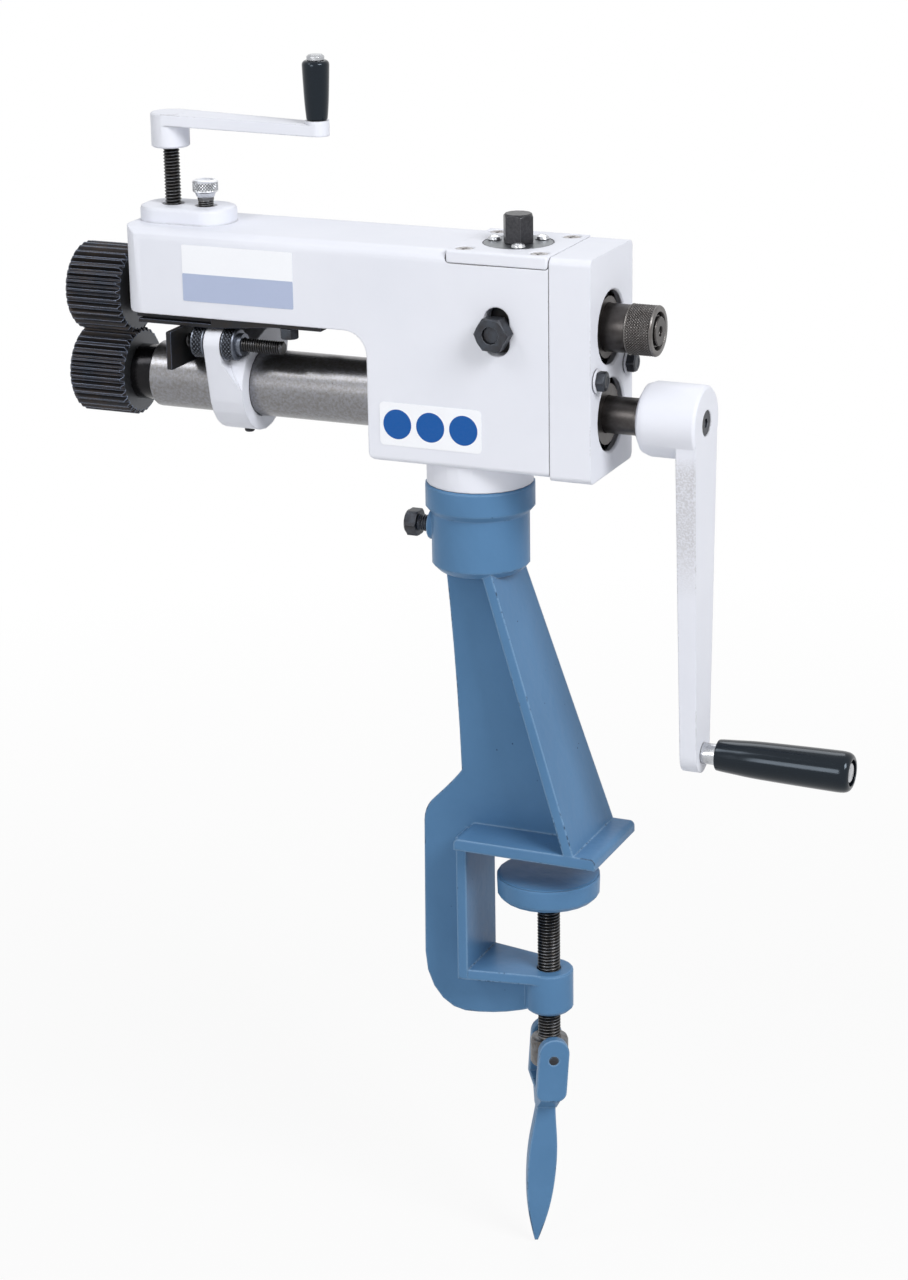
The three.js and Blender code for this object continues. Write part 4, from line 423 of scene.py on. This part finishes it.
white = whiteEnamel("white enamel on cast iron", whitePaint)
whiteCrank = whiteEnamel("white enamel, worn crank", crankPaint)
blue = blueEnamel("blue enamel on cast iron", bluePaint)
rollFinish = machinedMetal("black oxide steel, rolls", rollSteel)
black = machinedMetal("black oxide steel", blackSteel)
glossBlack = machinedMetal("polished black steel", glossBlackSteel)
threadFinish = machinedMetal("oiled steel thread", threadSteel)
hexFinish = machinedMetal("blackened hexagon steel", hexSteel)
postFinish = machinedMetal("blackened hexagon bar", postSteel)
flangeFinish = machinedMetal("dull zinc plate", flangeSteel)
shaftFinish = machinedMetal("oiled turned steel", shaftSteel)
rodFinish = machinedMetal("black threaded rod", rodSteel)
nutFinish = machinedMetal("knurled black steel", nutSteel)
knobFinish = machinedMetal("knurled zinc plated steel", knobSteel)
knurlFinish = machinedMetal("knurled steel", knurlSteel)
tubeFinish = machinedMetal("bright drawn steel tube", tubeSteel)
zinc = machinedMetal("zinc plated steel", zincSteel)
bronze = machinedMetal("turned bronze", bushBronze)
resin = mouldedResin("polished phenolic resin", gripResin)
screwPaint = whiteEnamel("white enamel, screw heads", screwHeadPaint)
vinylWhite = printedVinyl("white vinyl film", vinyl, "#F3F5FA")
vinylBand = printedVinyl("blue grey vinyl film", vinyl, "#AEB9D4")
vinylBlue = printedVinyl("blue vinyl film", vinyl, "#00529E")
print("materials done")

# Solids of the frame: corners joined, castings given their rounded edges in millimetres, and then
# shaded smooth up to the smooth angle
casts = {"head_casting": 0.8, "gear_cover": 0.8, "cover_plate": 0.5, "stand_casting": 0.9, "clamp_pad": 0.8,
         "gauge_bracket": 0.8, "crank_arm": 0.9}


def shadeSolid(piece, radius):
    weld = piece.modifiers.new("joined corners", "WELD")
    weld.merge_threshold = 0.01 * mm
    if radius:
        rounded = piece.modifiers.new("rounded edges", "BEVEL")
        rounded.width = radius * mm
        rounded.segments = 2
        rounded.angle_limit = math.radians(40)
    split = piece.modifiers.new("crisp edges", "EDGE_SPLIT")
    split.split_angle = math.radians(smoothAngle)
    piece.modifiers.new("even shading", "WEIGHTED_NORMAL").keep_sharp = True


finishes = {
    white: ["head_casting", "gear_cover", "cover_plate", "gauge_bracket", "top_crank"],
    whiteCrank: ["crank_arm"],
    blue: ["stand_casting", "clamp_pad", "fork_handle"],
    rollFinish: ["upper_roll", "lower_roll"],
    glossBlack: ["roll_collar"],
    postFinish: ["adjust_screw"],
    flangeFinish: ["adjust_flange"],
    black: ["front_block", "rear_block", "leaf_spring_near", "leaf_spring_far", "press_screw", "clamp_screw",
            "gauge_rod", "gauge_plate", "gauge_nut_left", "gauge_nut_right", "bracket_screw"],
    hexFinish: ["swivel_bolt", "fork_pin", "cover_bolt_near", "cover_bolt_far", "plate_screw_1",
                "plate_screw_2", "plate_screw_3", "plate_screw_4", "leaf_bolt_near", "leaf_bolt_far",
                "side_stud", "side_nut", "upper_roll_nut", "lower_roll_nut", "hub_screw"],
    shaftFinish: ["upper_shaft", "upper_gear", "end_sleeve", "end_screw", "lower_shaft", "lower_gear",
                  "thrust_washer", "upper_washer", "shaft_ring"],
    tubeFinish: ["spindle_tube"],
    zinc: ["flange_screw_1", "flange_screw_2", "flange_screw_3", "small_pin", "lock_screw", "grip_pin"],
    resin: ["small_grip", "crank_grip"],
    bronze: ["front_bush", "rear_bush"],
}
for finish, names in finishes.items():
    for name in names:
        mesh = nodes[name].data
        mesh.materials.clear()
        mesh.materials.append(finish)
        mesh.shade_smooth()
        shadeSolid(nodes[name], casts.get(name))
print("solids finished")


# Turned piece: rows of place along the axis and radius, in millimetres from the start point.
# reshape(along, angle, radius) may change the radius, for a thread, a knurl or a hexagon, and
# sink(along, angle, radius) the place along the axis, for a recess in a head. The layer "sunk" keeps
# how deep each corner was cut, in millimetres, for the grease and painted shade in the roots
def turned(name, start, axis, rows, finish, body, instead, segments=64, reshape=None, sink=None):
    bm = bmesh.new()
    depth = bm.verts.layers.float.new("sunk")
    z = Vector(axis)
    x = Vector((0, 1, 0))  # across every axis used here, as they run along X or Z
    y = z.cross(x)
    rings = []
    for along, radius in rows:
        if radius < 1e-4:  # on the axis, where one corner closes the end
            rings.append([bm.verts.new(Vector(start) + z * along * mm)])
            continue
        ring = []
        for i in range(segments):
            angle = i / segments * math.tau
            r = reshape(along, angle, radius) if reshape else radius
            level = sink(along, angle, radius) if sink else along
            ring.append(bm.verts.new(
                Vector(start) + (z * level + (x * math.cos(angle) + y * math.sin(angle)) * r) * mm))
            ring[-1][depth] = radius - r
        rings.append(ring)
    for low, high in zip(rings, rings[1:]):
        for i in range(segments):
            j = (i + 1) % segments
            if len(low) == 1:
                bm.faces.new((low[0], high[j], high[i]))
            elif len(high) == 1:
                bm.faces.new((low[i], low[j], high[0]))
            else:
                bm.faces.new((low[i], low[j], high[j], high[i]))
    bmesh.ops.recalc_face_normals(bm, faces=bm.faces)
    addPiece(name, bm, finish, body, instead)


# the mesh as a piece that moves with a body, in place of some of the frame's nodes
def addPiece(name, bm, finish, body, instead=()):
    mesh = bpy.data.meshes.new(name)
    bm.to_mesh(mesh)
    bm.free()
    mesh.materials.append(finish)
    mesh.shade_smooth()
    mesh.set_sharp_from_angle(angle=math.radians(smoothAngle))
    piece = bpy.data.objects.new(name, mesh)
    bpy.context.scene.collection.objects.link(piece)
    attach(piece, body)
    if instead:
        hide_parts(*instead)


# rows of a plain stretch cut finely, for a thread or a knurl
def stretch(low, high, radius, step):
    count = max(2, round((high - low) / step))
    return [(low + (high - low) * i / count, radius) for i in range(count + 1)]


# smooth curve through rows, for a moulded grip
def flowing(rows, steps=6):
    out = []
    for i in range(len(rows) - 1):
        a, b, c, d = (Vector(rows[min(max(k, 0), len(rows) - 1)]) for k in (i - 1, i, i + 1, i + 2))
        for s in range(steps):
            t = s / steps
            bend, twist = 2 * a - 5 * b + 4 * c - d, 3 * b - a - 3 * c + d
            p = 0.5 * (2 * b + (c - a) * t + bend * t * t + twist * t ** 3)
            out.append((p.x, p.y))
    out.append(tuple(rows[-1]))
    return out


# V thread with rounded flanks, fading out over its first and last turn
def threadCut(low, high, pitch, depth):
    def cut(along, angle, radius):
        if not low <= along <= high:
            return radius
        phase = (along / pitch - angle / math.tau) % 1
        fade = min(1, (along - low) / pitch, (high - along) / pitch)
        return radius - depth * fade * (1 - abs(2 * phase - 1)) ** 0.8
    return cut


# crossed grooves: how many round the piece, and how far along it a groove moves to reach the next
def knurlCut(low, high, count, lean, depth, fadeLength=0.5):
    def cut(along, angle, radius):
        if not low <= along <= high:
            return radius
        left = (count * angle / math.tau + along / lean) % 1
        right = (count * angle / math.tau - along / lean) % 1
        fade = min(1, (along - low) / fadeLength, (high - along) / fadeLength)
        return radius - depth * fade * max(abs(2 * left - 1), abs(2 * right - 1))
    return cut


def hexCut(low, high, across):
    def cut(along, angle, radius):
        if not low <= along <= high:
            return radius
        return min(radius, across / 2 / math.cos((angle % (math.pi / 3)) - math.pi / 6))
    return cut


# cross recess in the face at one height
def crossCut(face, width, reach, depth):
    def cut(along, angle, radius):
        u, v = abs(radius * math.cos(angle)), abs(radius * math.sin(angle))
        inside = (u < width / 2 and v < reach) or (v < width / 2 and u < reach)
        return along - depth if inside and along > face - 0.02 else along
    return cut


def bothCuts(first, second):
    return lambda along, angle, radius: second(along, angle, first(along, angle, radius))


# middle of a node's box and its ends along one axis, in millimetres
def axisOf(node, axis):
    low, high = (Vector(corner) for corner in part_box(node))
    middle = (low + high) / 2
    return middle, low[axis] / mm, high[axis] / mm


# Pressing screw under the small crank. The lengths of all these pieces are in millimetres
pressThread = {"pitch": 1.9, "depth": 0.95, "radius": 5.0, "chamfer": 1}


def makePressScrew(cfg):
    middle, low, high = axisOf("press_screw", 2)
    r, start = cfg["radius"], low + cfg["chamfer"]
    rows = [(low, 0), (low, r - cfg["chamfer"])] + stretch(start, high, r, cfg["pitch"] / 8) + [(high, 0)]
    turned("pressing_thread", (middle.x, middle.y, 0), (0, 0, 1), rows, threadFinish, "press_screw",
           ["press_screw"], 32, threadCut(start, high, cfg["pitch"], cfg["depth"]))


# Clamp screw: a round head crossed by the fork's pin, a coarse thread and a turned tip in the pad
clampThread = {"pitch": 2.0, "depth": 1.0, "radius": 7.0, "headRadius": 11.5, "headHeight": 17.6,
               "tipRadius": 4.6, "tipLength": 9}


def makeClampScrew(cfg):
    low, high = axisOf("clamp_screw", 2)[1:]
    headTop = low + cfg["headHeight"]
    shankLow, shankTop = headTop + 0.01, high - cfg["tipLength"]
    head, r, tip = cfg["headRadius"], cfg["radius"], cfg["tipRadius"]
    rows = [(low, 0), (low, head - 1.5), (low + 0.5, head - 0.6), (low + 1.5, head)]
    rows += [(headTop - 2.5, head), (headTop - 0.6, head - 0.8), (headTop, head - 2), (headTop, r + 0.01)]
    rows += stretch(shankLow, shankTop, r, cfg["pitch"] / 8)
    rows += [(shankTop, tip), (high - 1, tip), (high, tip - 1), (high, 0)]
    turned("clamp_thread", (0, 0, 0), (0, 0, 1), rows, threadFinish, "clamp_screw",
           ["clamp_screw"], 40, threadCut(shankLow, shankTop, cfg["pitch"], cfg["depth"]))


# Knurled lock screw behind the pressing screw. Its knurl would be too fine to show in the render, so
# it is drawn about a fifth coarser
lockShape = {"radius": 4.8, "chamfer": 1, "pitch": 1.25, "threadDepth": 0.6, "neck": 3, "head": 7.6,
             "headHeight": 7, "knurls": 25, "lean": 1.9, "knurlDepth": 0.6, "step": 0.3}


def makeLockScrew(cfg):
    middle, low, high = axisOf("lock_screw", 2)
    headLow = high - cfg["headHeight"]
    neckLow = headLow - cfg["neck"]
    r, head = cfg["radius"], cfg["head"]
    threadLow, threadTop = low + cfg["chamfer"], neckLow - 1.2
    rows = [(low, 0), (low, r - cfg["chamfer"])] + stretch(threadLow, threadTop, r, cfg["pitch"] / 7)
    rows += [(neckLow, r), (neckLow, 0)]
    turned("lock_thread", (middle.x, middle.y, 0), (0, 0, 1), rows, threadFinish, "lock_screw",
           ["lock_screw"], 40, threadCut(threadLow, threadTop, cfg["pitch"], cfg["threadDepth"]))
    knurlLow, knurlTop = headLow + 0.7, high - 0.9
    rows = [(neckLow, 0), (neckLow, r), (neckLow + 0.6, r + 0.6), (headLow - 0.3, head - 1.4),
            (headLow + 0.2, head - 0.5)]
    rows += stretch(knurlLow, knurlTop, head, cfg["step"])
    rows += [(high - 0.4, head - 0.5), (high, head - 1.2), (high, head - 2.4), (high - 0.7, head - 3),
             (high - 0.7, 0)]
    turned("lock_knob", (middle.x, middle.y, 0), (0, 0, 1), rows, knobFinish, "lock_screw",
           ["lock_screw"], 150, knurlCut(knurlLow, knurlTop, cfg["knurls"], cfg["lean"], cfg["knurlDepth"]))


# Threaded gauge rod
rodShape = {"radius": 4.0, "pitch": 1.5, "depth": 0.7, "startChamfer": 0.6, "endChamfer": 0.8}


def makeGaugeRod(cfg):
    middle, low, high = axisOf("gauge_rod", 0)
    r, threadLow, threadTop = cfg["radius"], low + cfg["startChamfer"], high - cfg["endChamfer"]
    rows = [(low, 0), (low, r - cfg["startChamfer"])] + stretch(threadLow, threadTop, r, cfg["pitch"] / 8)
    rows += [(high, r - cfg["endChamfer"]), (high, 0)]
    turned("gauge_thread", (0, middle.y, middle.z), (1, 0, 0), rows, rodFinish, "gauge",
           ["gauge_rod"], 28, threadCut(threadLow, threadTop, cfg["pitch"], cfg["depth"]))


# Two knurled nuts on the rod, each with a plain collar. Drawn coarser like the lock screw's knurl
nutShape = {"radius": 9.6, "length": 8.6, "bore": 4.3, "collar": {"left": 0.5, "right": 3}, "collarStep": 3,
            "knurls": 22, "lean": 2.3, "depth": 0.7, "step": 0.4}


def makeGaugeNuts(cfg):
    length, r, bore = cfg["length"], cfg["radius"], cfg["bore"]
    neck = r - cfg["collarStep"]
    for side, collar in cfg["collar"].items():
        middle, low, high = axisOf("gauge_nut_" + side, 0)
        seat, sign = (low, 1) if side == "right" else (high, -1)
        rows = [(0, bore), (0, r - 1.2), (0.6, r - 0.3)] + stretch(1, length - 1, r, cfg["step"])
        rows += [(length - 0.5, r - 0.4), (length, r - 1.2), (length, neck)]
        rows += [(length + collar, neck), (length + collar, bore), (0, bore)]
        turned("knurled_nut_" + side, (seat * mm, middle.y, middle.z), (sign, 0, 0), rows, nutFinish,
               "gauge_bracket", ["gauge_nut_" + side], 110,
               knurlCut(1, length - 1, cfg["knurls"], cfg["lean"], cfg["depth"]))


# Hexagon bolt that locks the swivel, at the back of the socket
boltShape = {"radius": 5.0, "pitch": 1.5, "depth": 0.75, "across": 14.6, "headHeight": 8, "chamfer": 1}


def makeSwivelBolt(cfg):
    middle, low, high = axisOf("swivel_bolt", 0)
    length, r = high - low, cfg["radius"]
    head, corner = cfg["headHeight"], cfg["across"] / math.sqrt(3)
    threadLow, threadTop = head + 0.2, length - cfg["chamfer"]
    rows = [(0, 0), (0, corner - 2.2), (0.25, corner - 1.6), (1.4, corner), (head - 0.4, corner),
            (head, corner - 0.6), (head, r)]
    rows += stretch(threadLow, threadTop, r, cfg["pitch"] / 8)
    rows += [(length, r - cfg["chamfer"]), (length, 0)]
    cuts = bothCuts(hexCut(0.1, head, cfg["across"]),
                    threadCut(threadLow, threadTop, cfg["pitch"], cfg["depth"]))
    turned("swivel_lock_bolt", (low * mm, middle.y, middle.z), (1, 0, 0), rows, hexFinish, "swivel_bolt",
           ["swivel_bolt"], 72, cuts)


# Crank's grip, swelling towards its end, with a recess for the pin's head
gripShape = {"neck": 9.2, "radius": 11.9, "bore": 5.3, "recess": 7.6, "recessDepth": 3}


def makeCrankGrip(cfg):
    middle, low, high = axisOf("crank_grip", 0)
    length = high - low
    neck, r, bore, recess = cfg["neck"], cfg["radius"], cfg["bore"], cfg["recess"]
    outer = [(0, neck - 1.5), (0.4, neck - 0.6), (1.5, neck), (length * 0.15, neck + 0.85),
             (length * 0.3, r - 1.05), (length * 0.6, r - 0.4), (length * 0.85, r - 0.02),
             (length - 6, r), (length - 2.6, r - 0.5), (length - 0.8, r - 1.6), (length, r - 2.9)]
    floor = length - cfg["recessDepth"]
    rows = [(0, bore)] + flowing(outer) + [(length, recess + 0.3), (length - 0.4, recess)]
    rows += [(floor, recess), (floor, bore), (0, bore)]
    turned("crank_grip_moulding", (low * mm, middle.y, middle.z), (1, 0, 0), rows, resin, "crank_grip",
           ["crank_grip"], 72)


# Small crank's grip, of the same outline
smallGripShape = {"foot": 6.2, "radius": 7.8, "bore": 2.9}


def makeSmallGrip(cfg):
    middle, low, high = axisOf("small_grip", 2)
    length = high - low
    foot, r, bore = cfg["foot"], cfg["radius"], cfg["bore"]
    outer = [(0, foot - 1), (0.4, foot - 0.4), (1.5, foot), (length * 0.3, foot + 0.75), (length * 0.6, r - 0.35),
             (length * 0.85, r - 0.02), (length - 2, r), (length - 0.7, r - 0.6), (length, r - 1.6)]
    rows = [(0, bore)] + flowing(outer) + [(length, bore), (0, bore)]
    turned("small_grip_moulding", (middle.x, middle.y, low * mm), (0, 0, 1), rows, resin, "small_grip",
           ["small_grip"], 64)


# Bolts of the cover: a thin painted washer and a small hexagon head with a dished face
coverBoltShape = {"radius": 3.0, "washerRadius": 6.8, "washer": 1.2, "across": 10.3, "headHeight": 5,
                  "dishRadius": 3, "dishDepth": 0.3}


def makeCoverBolts(cfg):
    thick, r, corner = cfg["washer"], cfg["radius"], cfg["across"] / math.sqrt(3)
    hole, outer, top = r + 0.1, cfg["washerRadius"], thick + cfg["headHeight"]
    dish, deep = cfg["dishRadius"], cfg["dishDepth"]
    for side in ("near", "far"):
        node = "cover_bolt_" + side
        middle, low, high = axisOf(node, 0)
        start = ((high - cfg["headHeight"] - thick) * mm, middle.y, middle.z)
        rows = [(0, hole), (0, outer - 0.3), (0.25, outer), (thick - 0.3, outer), (thick, outer - 0.4),
                (thick, hole), (0, hole)]
        turned("cover_washer_" + side, start, (1, 0, 0), rows, white, "head", [node])
        tail = low - start[0] / mm
        rows = [(tail, 0), (tail, r), (thick, r), (thick + 0.05, corner - 0.3)]
        rows += [(thick + 0.3, corner), (top - 1.3, corner), (top - 0.5, corner - 0.6), (top, corner - 1.6)]
        rows += [(top, dish), (top - deep, dish - 0.4), (top - deep, 0)]
        turned("cover_bolt_head_" + side, start, (1, 0, 0), rows, hexFinish, "head", [node], 72,
               hexCut(thick - 0.1, top, cfg["across"]))


# Countersunk screws of the plate: painted over with the casting, a cross recess in each
plateScrewShape = {"radius": 5.0, "width": 1.7, "reach": 3.2, "depth": 1.6, "rings": 14}


def makePlateScrews(cfg):
    r, rings = cfg["radius"], cfg["rings"]
    for i in range(1, 5):
        node = f"plate_screw_{i}"
        middle, low, high = axisOf(node, 2)
        rows = [(low, 0), (low, r - (high - low)), (high - 0.35, r - 0.1)]
        rows += [(high, (r - 0.3) * (1 - k / rings)) for k in range(rings + 1)]
        turned(f"plate_screw_head_{i}", (middle.x, middle.y, 0), (0, 0, 1), rows, screwPaint, "head",
               [node], 96, sink=crossCut(high, cfg["width"], cfg["reach"], cfg["depth"]))


# Knurled sleeve at the end of the upper shaft, with a deep counterbore. The knurling runs on a little
# way over the shaft, by the lap
sleeveShape = {"radius": 14.4, "bore": 9.3, "sinkRadius": 10.8, "sinkDepth": 4, "knurls": 54, "lean": 1.68,
               "depth": 0.7, "step": 0.33, "lap": 3}


def makeEndSleeve(cfg):
    middle, low, high = axisOf("end_sleeve", 0)
    length, r, bore, sinkRadius = high - low, cfg["radius"], cfg["bore"], cfg["sinkRadius"]
    lap, floor = cfg["lap"], length - cfg["sinkDepth"]
    knurlLow, knurlTop = 0.5 - lap, length - 1.2
    rows = [(0, bore), (-lap, r - 1.2), (-lap, r - 0.5), (0.3 - lap, r - 0.15)]
    rows += stretch(knurlLow, knurlTop, r, cfg["step"])
    rows += [(length - 0.8, r - 0.1), (length - 0.3, r - 0.4), (length, r - 0.9), (length, sinkRadius + 0.3)]
    rows += [(length - 0.3, sinkRadius), (floor, sinkRadius), (floor, bore), (0, bore)]
    turned("knurled_sleeve", (low * mm, middle.y, middle.z), (1, 0, 0), rows, knurlFinish, "upper_shaft",
           ["end_sleeve"], 270,
           knurlCut(knurlLow, knurlTop, cfg["knurls"], cfg["lean"], cfg["depth"]))


# Disc of the screw in the sleeve, with a centre hole
discShape = {"radius": 8.2, "hole": 2.9, "holeDepth": 1.6, "chamfer": 0.5, "holeChamfer": 0.3}


def makeEndDisc(cfg):
    middle, low, high = axisOf("end_screw", 0)
    height, r, hole, chamfer = high - low, cfg["radius"], cfg["hole"], cfg["chamfer"]
    floor, lip = height - cfg["holeDepth"], cfg["holeChamfer"]
    rows = [(0, 0), (0, r), (height - chamfer, r), (height, r - chamfer), (height, hole + lip)]
    rows += [(height - lip, hole), (floor, hole), (floor, 0)]
    turned("end_disc", (low * mm, middle.y, middle.z), (1, 0, 0), rows, shaftFinish, "upper_shaft",
           ["end_screw"])


# Screw face with a hexagon socket, in the crank's hub
hubScrewShape = {"radius": 7.2, "chamfer": 0.5, "across": 5.2, "depth": 1.6}


def makeHubScrew(cfg):
    middle, low, high = axisOf("hub_screw", 0)
    height, r, chamfer, across = high - low, cfg["radius"], cfg["chamfer"], cfg["across"]
    floor = height - cfg["depth"]
    rows = [(0, 0), (0, r), (height - chamfer, r), (height, r - chamfer), (height, across / 1.7)]
    rows += [(height - 0.01, across), (floor + 0.2, across), (floor, 0)]
    cut = hexCut(floor + 0.1, height - 0.005, across)
    turned("hub_socket_screw", (low * mm, middle.y, middle.z), (1, 0, 0), rows, hexFinish, "drive",
           ["hub_screw"], 48,
           lambda along, angle, radius: cut(along, angle, radius) if radius <= across else radius)


makePressScrew(pressThread)
makeClampScrew(clampThread)
makeLockScrew(lockShape)
makeGaugeRod(rodShape)
makeGaugeNuts(nutShape)
makeSwivelBolt(boltShape)
makeCrankGrip(gripShape)
makeSmallGrip(smallGripShape)
makeCoverBolts(coverBoltShape)
makePlateScrews(plateScrewShape)
makeEndSleeve(sleeveShape)
makeEndDisc(discShape)
makeHubScrew(hubScrewShape)
print("turned pieces done")

# Film labels on the near side, left without words: places in millimetres on the side face
labels = {
    "thick": 0.2, "side": -33.0,
    "armPlate": {"x": (-212, -141.3), "z": (318.2, 351), "split": 334.3, "corner": 0.8},
    "sideSticker": {"x": (-88.5, -25.8), "z": (244.1, 269.2), "corner": 2.5},
    "discs": {"places": [(-77.6, 256.7), (-57.2, 256.6), (-36.8, 256.7)], "radius": 8.7, "thick": 0.06,
              "points": 40},
}


def filmOutline(x0, x1, z0, z1, corner, steps=5):
    points = []
    for cx, cz, turn in ((x1 - corner, z0 + corner, -90), (x1 - corner, z1 - corner, 0),
                         (x0 + corner, z1 - corner, 90), (x0 + corner, z0 + corner, 180)):
        for i in range(steps + 1):
            a = math.radians(turn + 90 * i / steps)
            points.append((cx + corner * math.cos(a), cz + corner * math.sin(a)))
    return points


def addFilm(name, points, y, thick, finish):
    bm = bmesh.new()
    front = [bm.verts.new((x * mm, (y - thick) * mm, z * mm)) for x, z in points]
    back = [bm.verts.new((x * mm, y * mm, z * mm)) for x, z in points]
    bm.faces.new(front)
    bm.faces.new(back[::-1])
    for i in range(len(points)):
        j = (i + 1) % len(points)
        bm.faces.new((front[i], back[i], back[j], front[j]))
    bmesh.ops.recalc_face_normals(bm, faces=bm.faces)
    addPiece(name, bm, finish, "head")


def makeLabels(cfg):
    y, thick = cfg["side"], cfg["thick"]
    plate, sticker, discs = cfg["armPlate"], cfg["sideSticker"], cfg["discs"]
    (x0, x1), (z0, z1), split, corner = plate["x"], plate["z"], plate["split"], plate["corner"]
    addFilm("arm_label_upper", filmOutline(x0, x1, split, z1, corner), y, thick, vinylWhite)
    addFilm("arm_label_lower", filmOutline(x0, x1, z0, split, corner), y, thick, vinylBand)
    addFilm("side_sticker", filmOutline(*sticker["x"], *sticker["z"], sticker["corner"]), y, thick, vinylWhite)
    angles = [i / discs["points"] * math.tau for i in range(discs["points"])]
    for i, (x, z) in enumerate(discs["places"]):
        ring = [(x + discs["radius"] * math.cos(a), z + discs["radius"] * math.sin(a)) for a in angles]
        addFilm(f"sticker_disc_{i + 1}", ring, y - thick, discs["thick"], vinylBlue)


makeLabels(labels)
print("labels done")

# Floor and light: a pale paper floor just under the fork's tip, wide soft lamps and an even white
# surround. Lengths are in metres. Seen directly or mirrored, the floor glows by nearGlow at the
# object and fully beyond the fade, where the lamps no longer light it
studio = {"floorGap": 0.002, "floorReach": 30, "floor": "#D6D6D6", "surround": 0.3, "nearGlow": 0.9,
          "fade": (0.5, 1.4)}
lamps = [  # place, aim and size in metres, power in watts
    ("key", (-1.6, -1.5, 2.4), (0, 0, 0.2), (0.9, 0.9), 14),
    ("front", (-0.5, -2.7, 1.0), (0, 0, 0.2), (1.0, 1.0), 21),
    ("right", (2.1, -1.0, 2.1), (0, 0, 0.2), (1.3, 1.3), 70),
    ("back", (-0.8, 1.9, 2.6), (0, 0, 0.2), (1.6, 1.2), 17),
]


# 1 where a ray comes from the camera, a reflection or a clear piece, 0 where it is soft light
def seenDirectly(tree):
    rays = addNode(tree, "ShaderNodeLightPath").outputs
    seen = rays["Is Camera Ray"]
    for kind in ("Is Glossy Ray", "Is Transmission Ray"):
        seen = addNode(tree, "ShaderNodeMath", {0: seen, 1: rays[kind]}, operation="MAXIMUM").outputs[0]
    return seen


def makeFloor(cfg):
    bm = bmesh.new()
    z, reach = cadBox[0][2] - cfg["floorGap"], cfg["floorReach"]
    corners = ((-reach, -reach), (reach, -reach), (reach, reach), (-reach, reach))
    bm.faces.new([bm.verts.new((x, y, z)) for x, y in corners])
    mesh = bpy.data.meshes.new("floor")
    bm.to_mesh(mesh)
    bm.free()
    floor = bpy.data.objects.new("floor", mesh)
    bpy.context.scene.collection.objects.link(floor)
    material = bpy.data.materials.new("pale floor")
    material.use_nodes = True
    tree = material.node_tree
    tree.nodes.clear()
    paper = addNode(tree, "ShaderNodeBsdfDiffuse", {"Color": linear(cfg["floor"])})
    glow = addNode(tree, "ShaderNodeEmission", {"Color": (1, 1, 1, 1), "Strength": 1})
    seen = seenDirectly(tree)
    spot = addNode(tree, "ShaderNodeTexCoord").outputs["Object"]
    away = addNode(tree, "ShaderNodeVectorMath", {0: spot}, operation="LENGTH").outputs["Value"]
    near, far = cfg["fade"]
    glowing = addNode(tree, "ShaderNodeMapRange", {0: away, 1: near, 2: far, 3: cfg["nearGlow"], 4: 1})
    share = addNode(tree, "ShaderNodeMath", {0: seen, 1: glowing.outputs[0]}, operation="MULTIPLY")
    mix = addNode(tree, "ShaderNodeMixShader", {0: share.outputs[0], 1: paper.outputs[0], 2: glow.outputs[0]})
    addNode(tree, "ShaderNodeOutputMaterial", {0: mix.outputs[0]})
    mesh.materials.append(material)


def makeSurround(cfg):
    world = bpy.data.worlds.new("surround")
    bpy.context.scene.world = world
    world.use_nodes = True
    tree = world.node_tree
    tree.nodes.clear()
    level = addNode(tree, "ShaderNodeMapRange", {0: seenDirectly(tree), 3: cfg["surround"], 4: 1})
    glow = addNode(tree, "ShaderNodeBackground", {"Color": (1, 1, 1, 1), "Strength": level.outputs[0]})
    addNode(tree, "ShaderNodeOutputWorld", {0: glow.outputs[0]})


def makeLamps(rows):
    for name, place, aim, size, power in rows:
        data = bpy.data.lights.new(name, "AREA")
        data.shape = "RECTANGLE"
        data.size, data.size_y = size
        data.energy = power
        lamp = bpy.data.objects.new(name, data)
        bpy.context.scene.collection.objects.link(lamp)
        lamp.location = place
        lamp.rotation_euler = (Vector(place) - Vector(aim)).to_track_quat("Z", "Y").to_euler()


makeFloor(studio)
makeSurround(studio)
makeLamps(lamps)
bpy.context.scene.view_settings.view_transform = "Standard"
print("studio done")
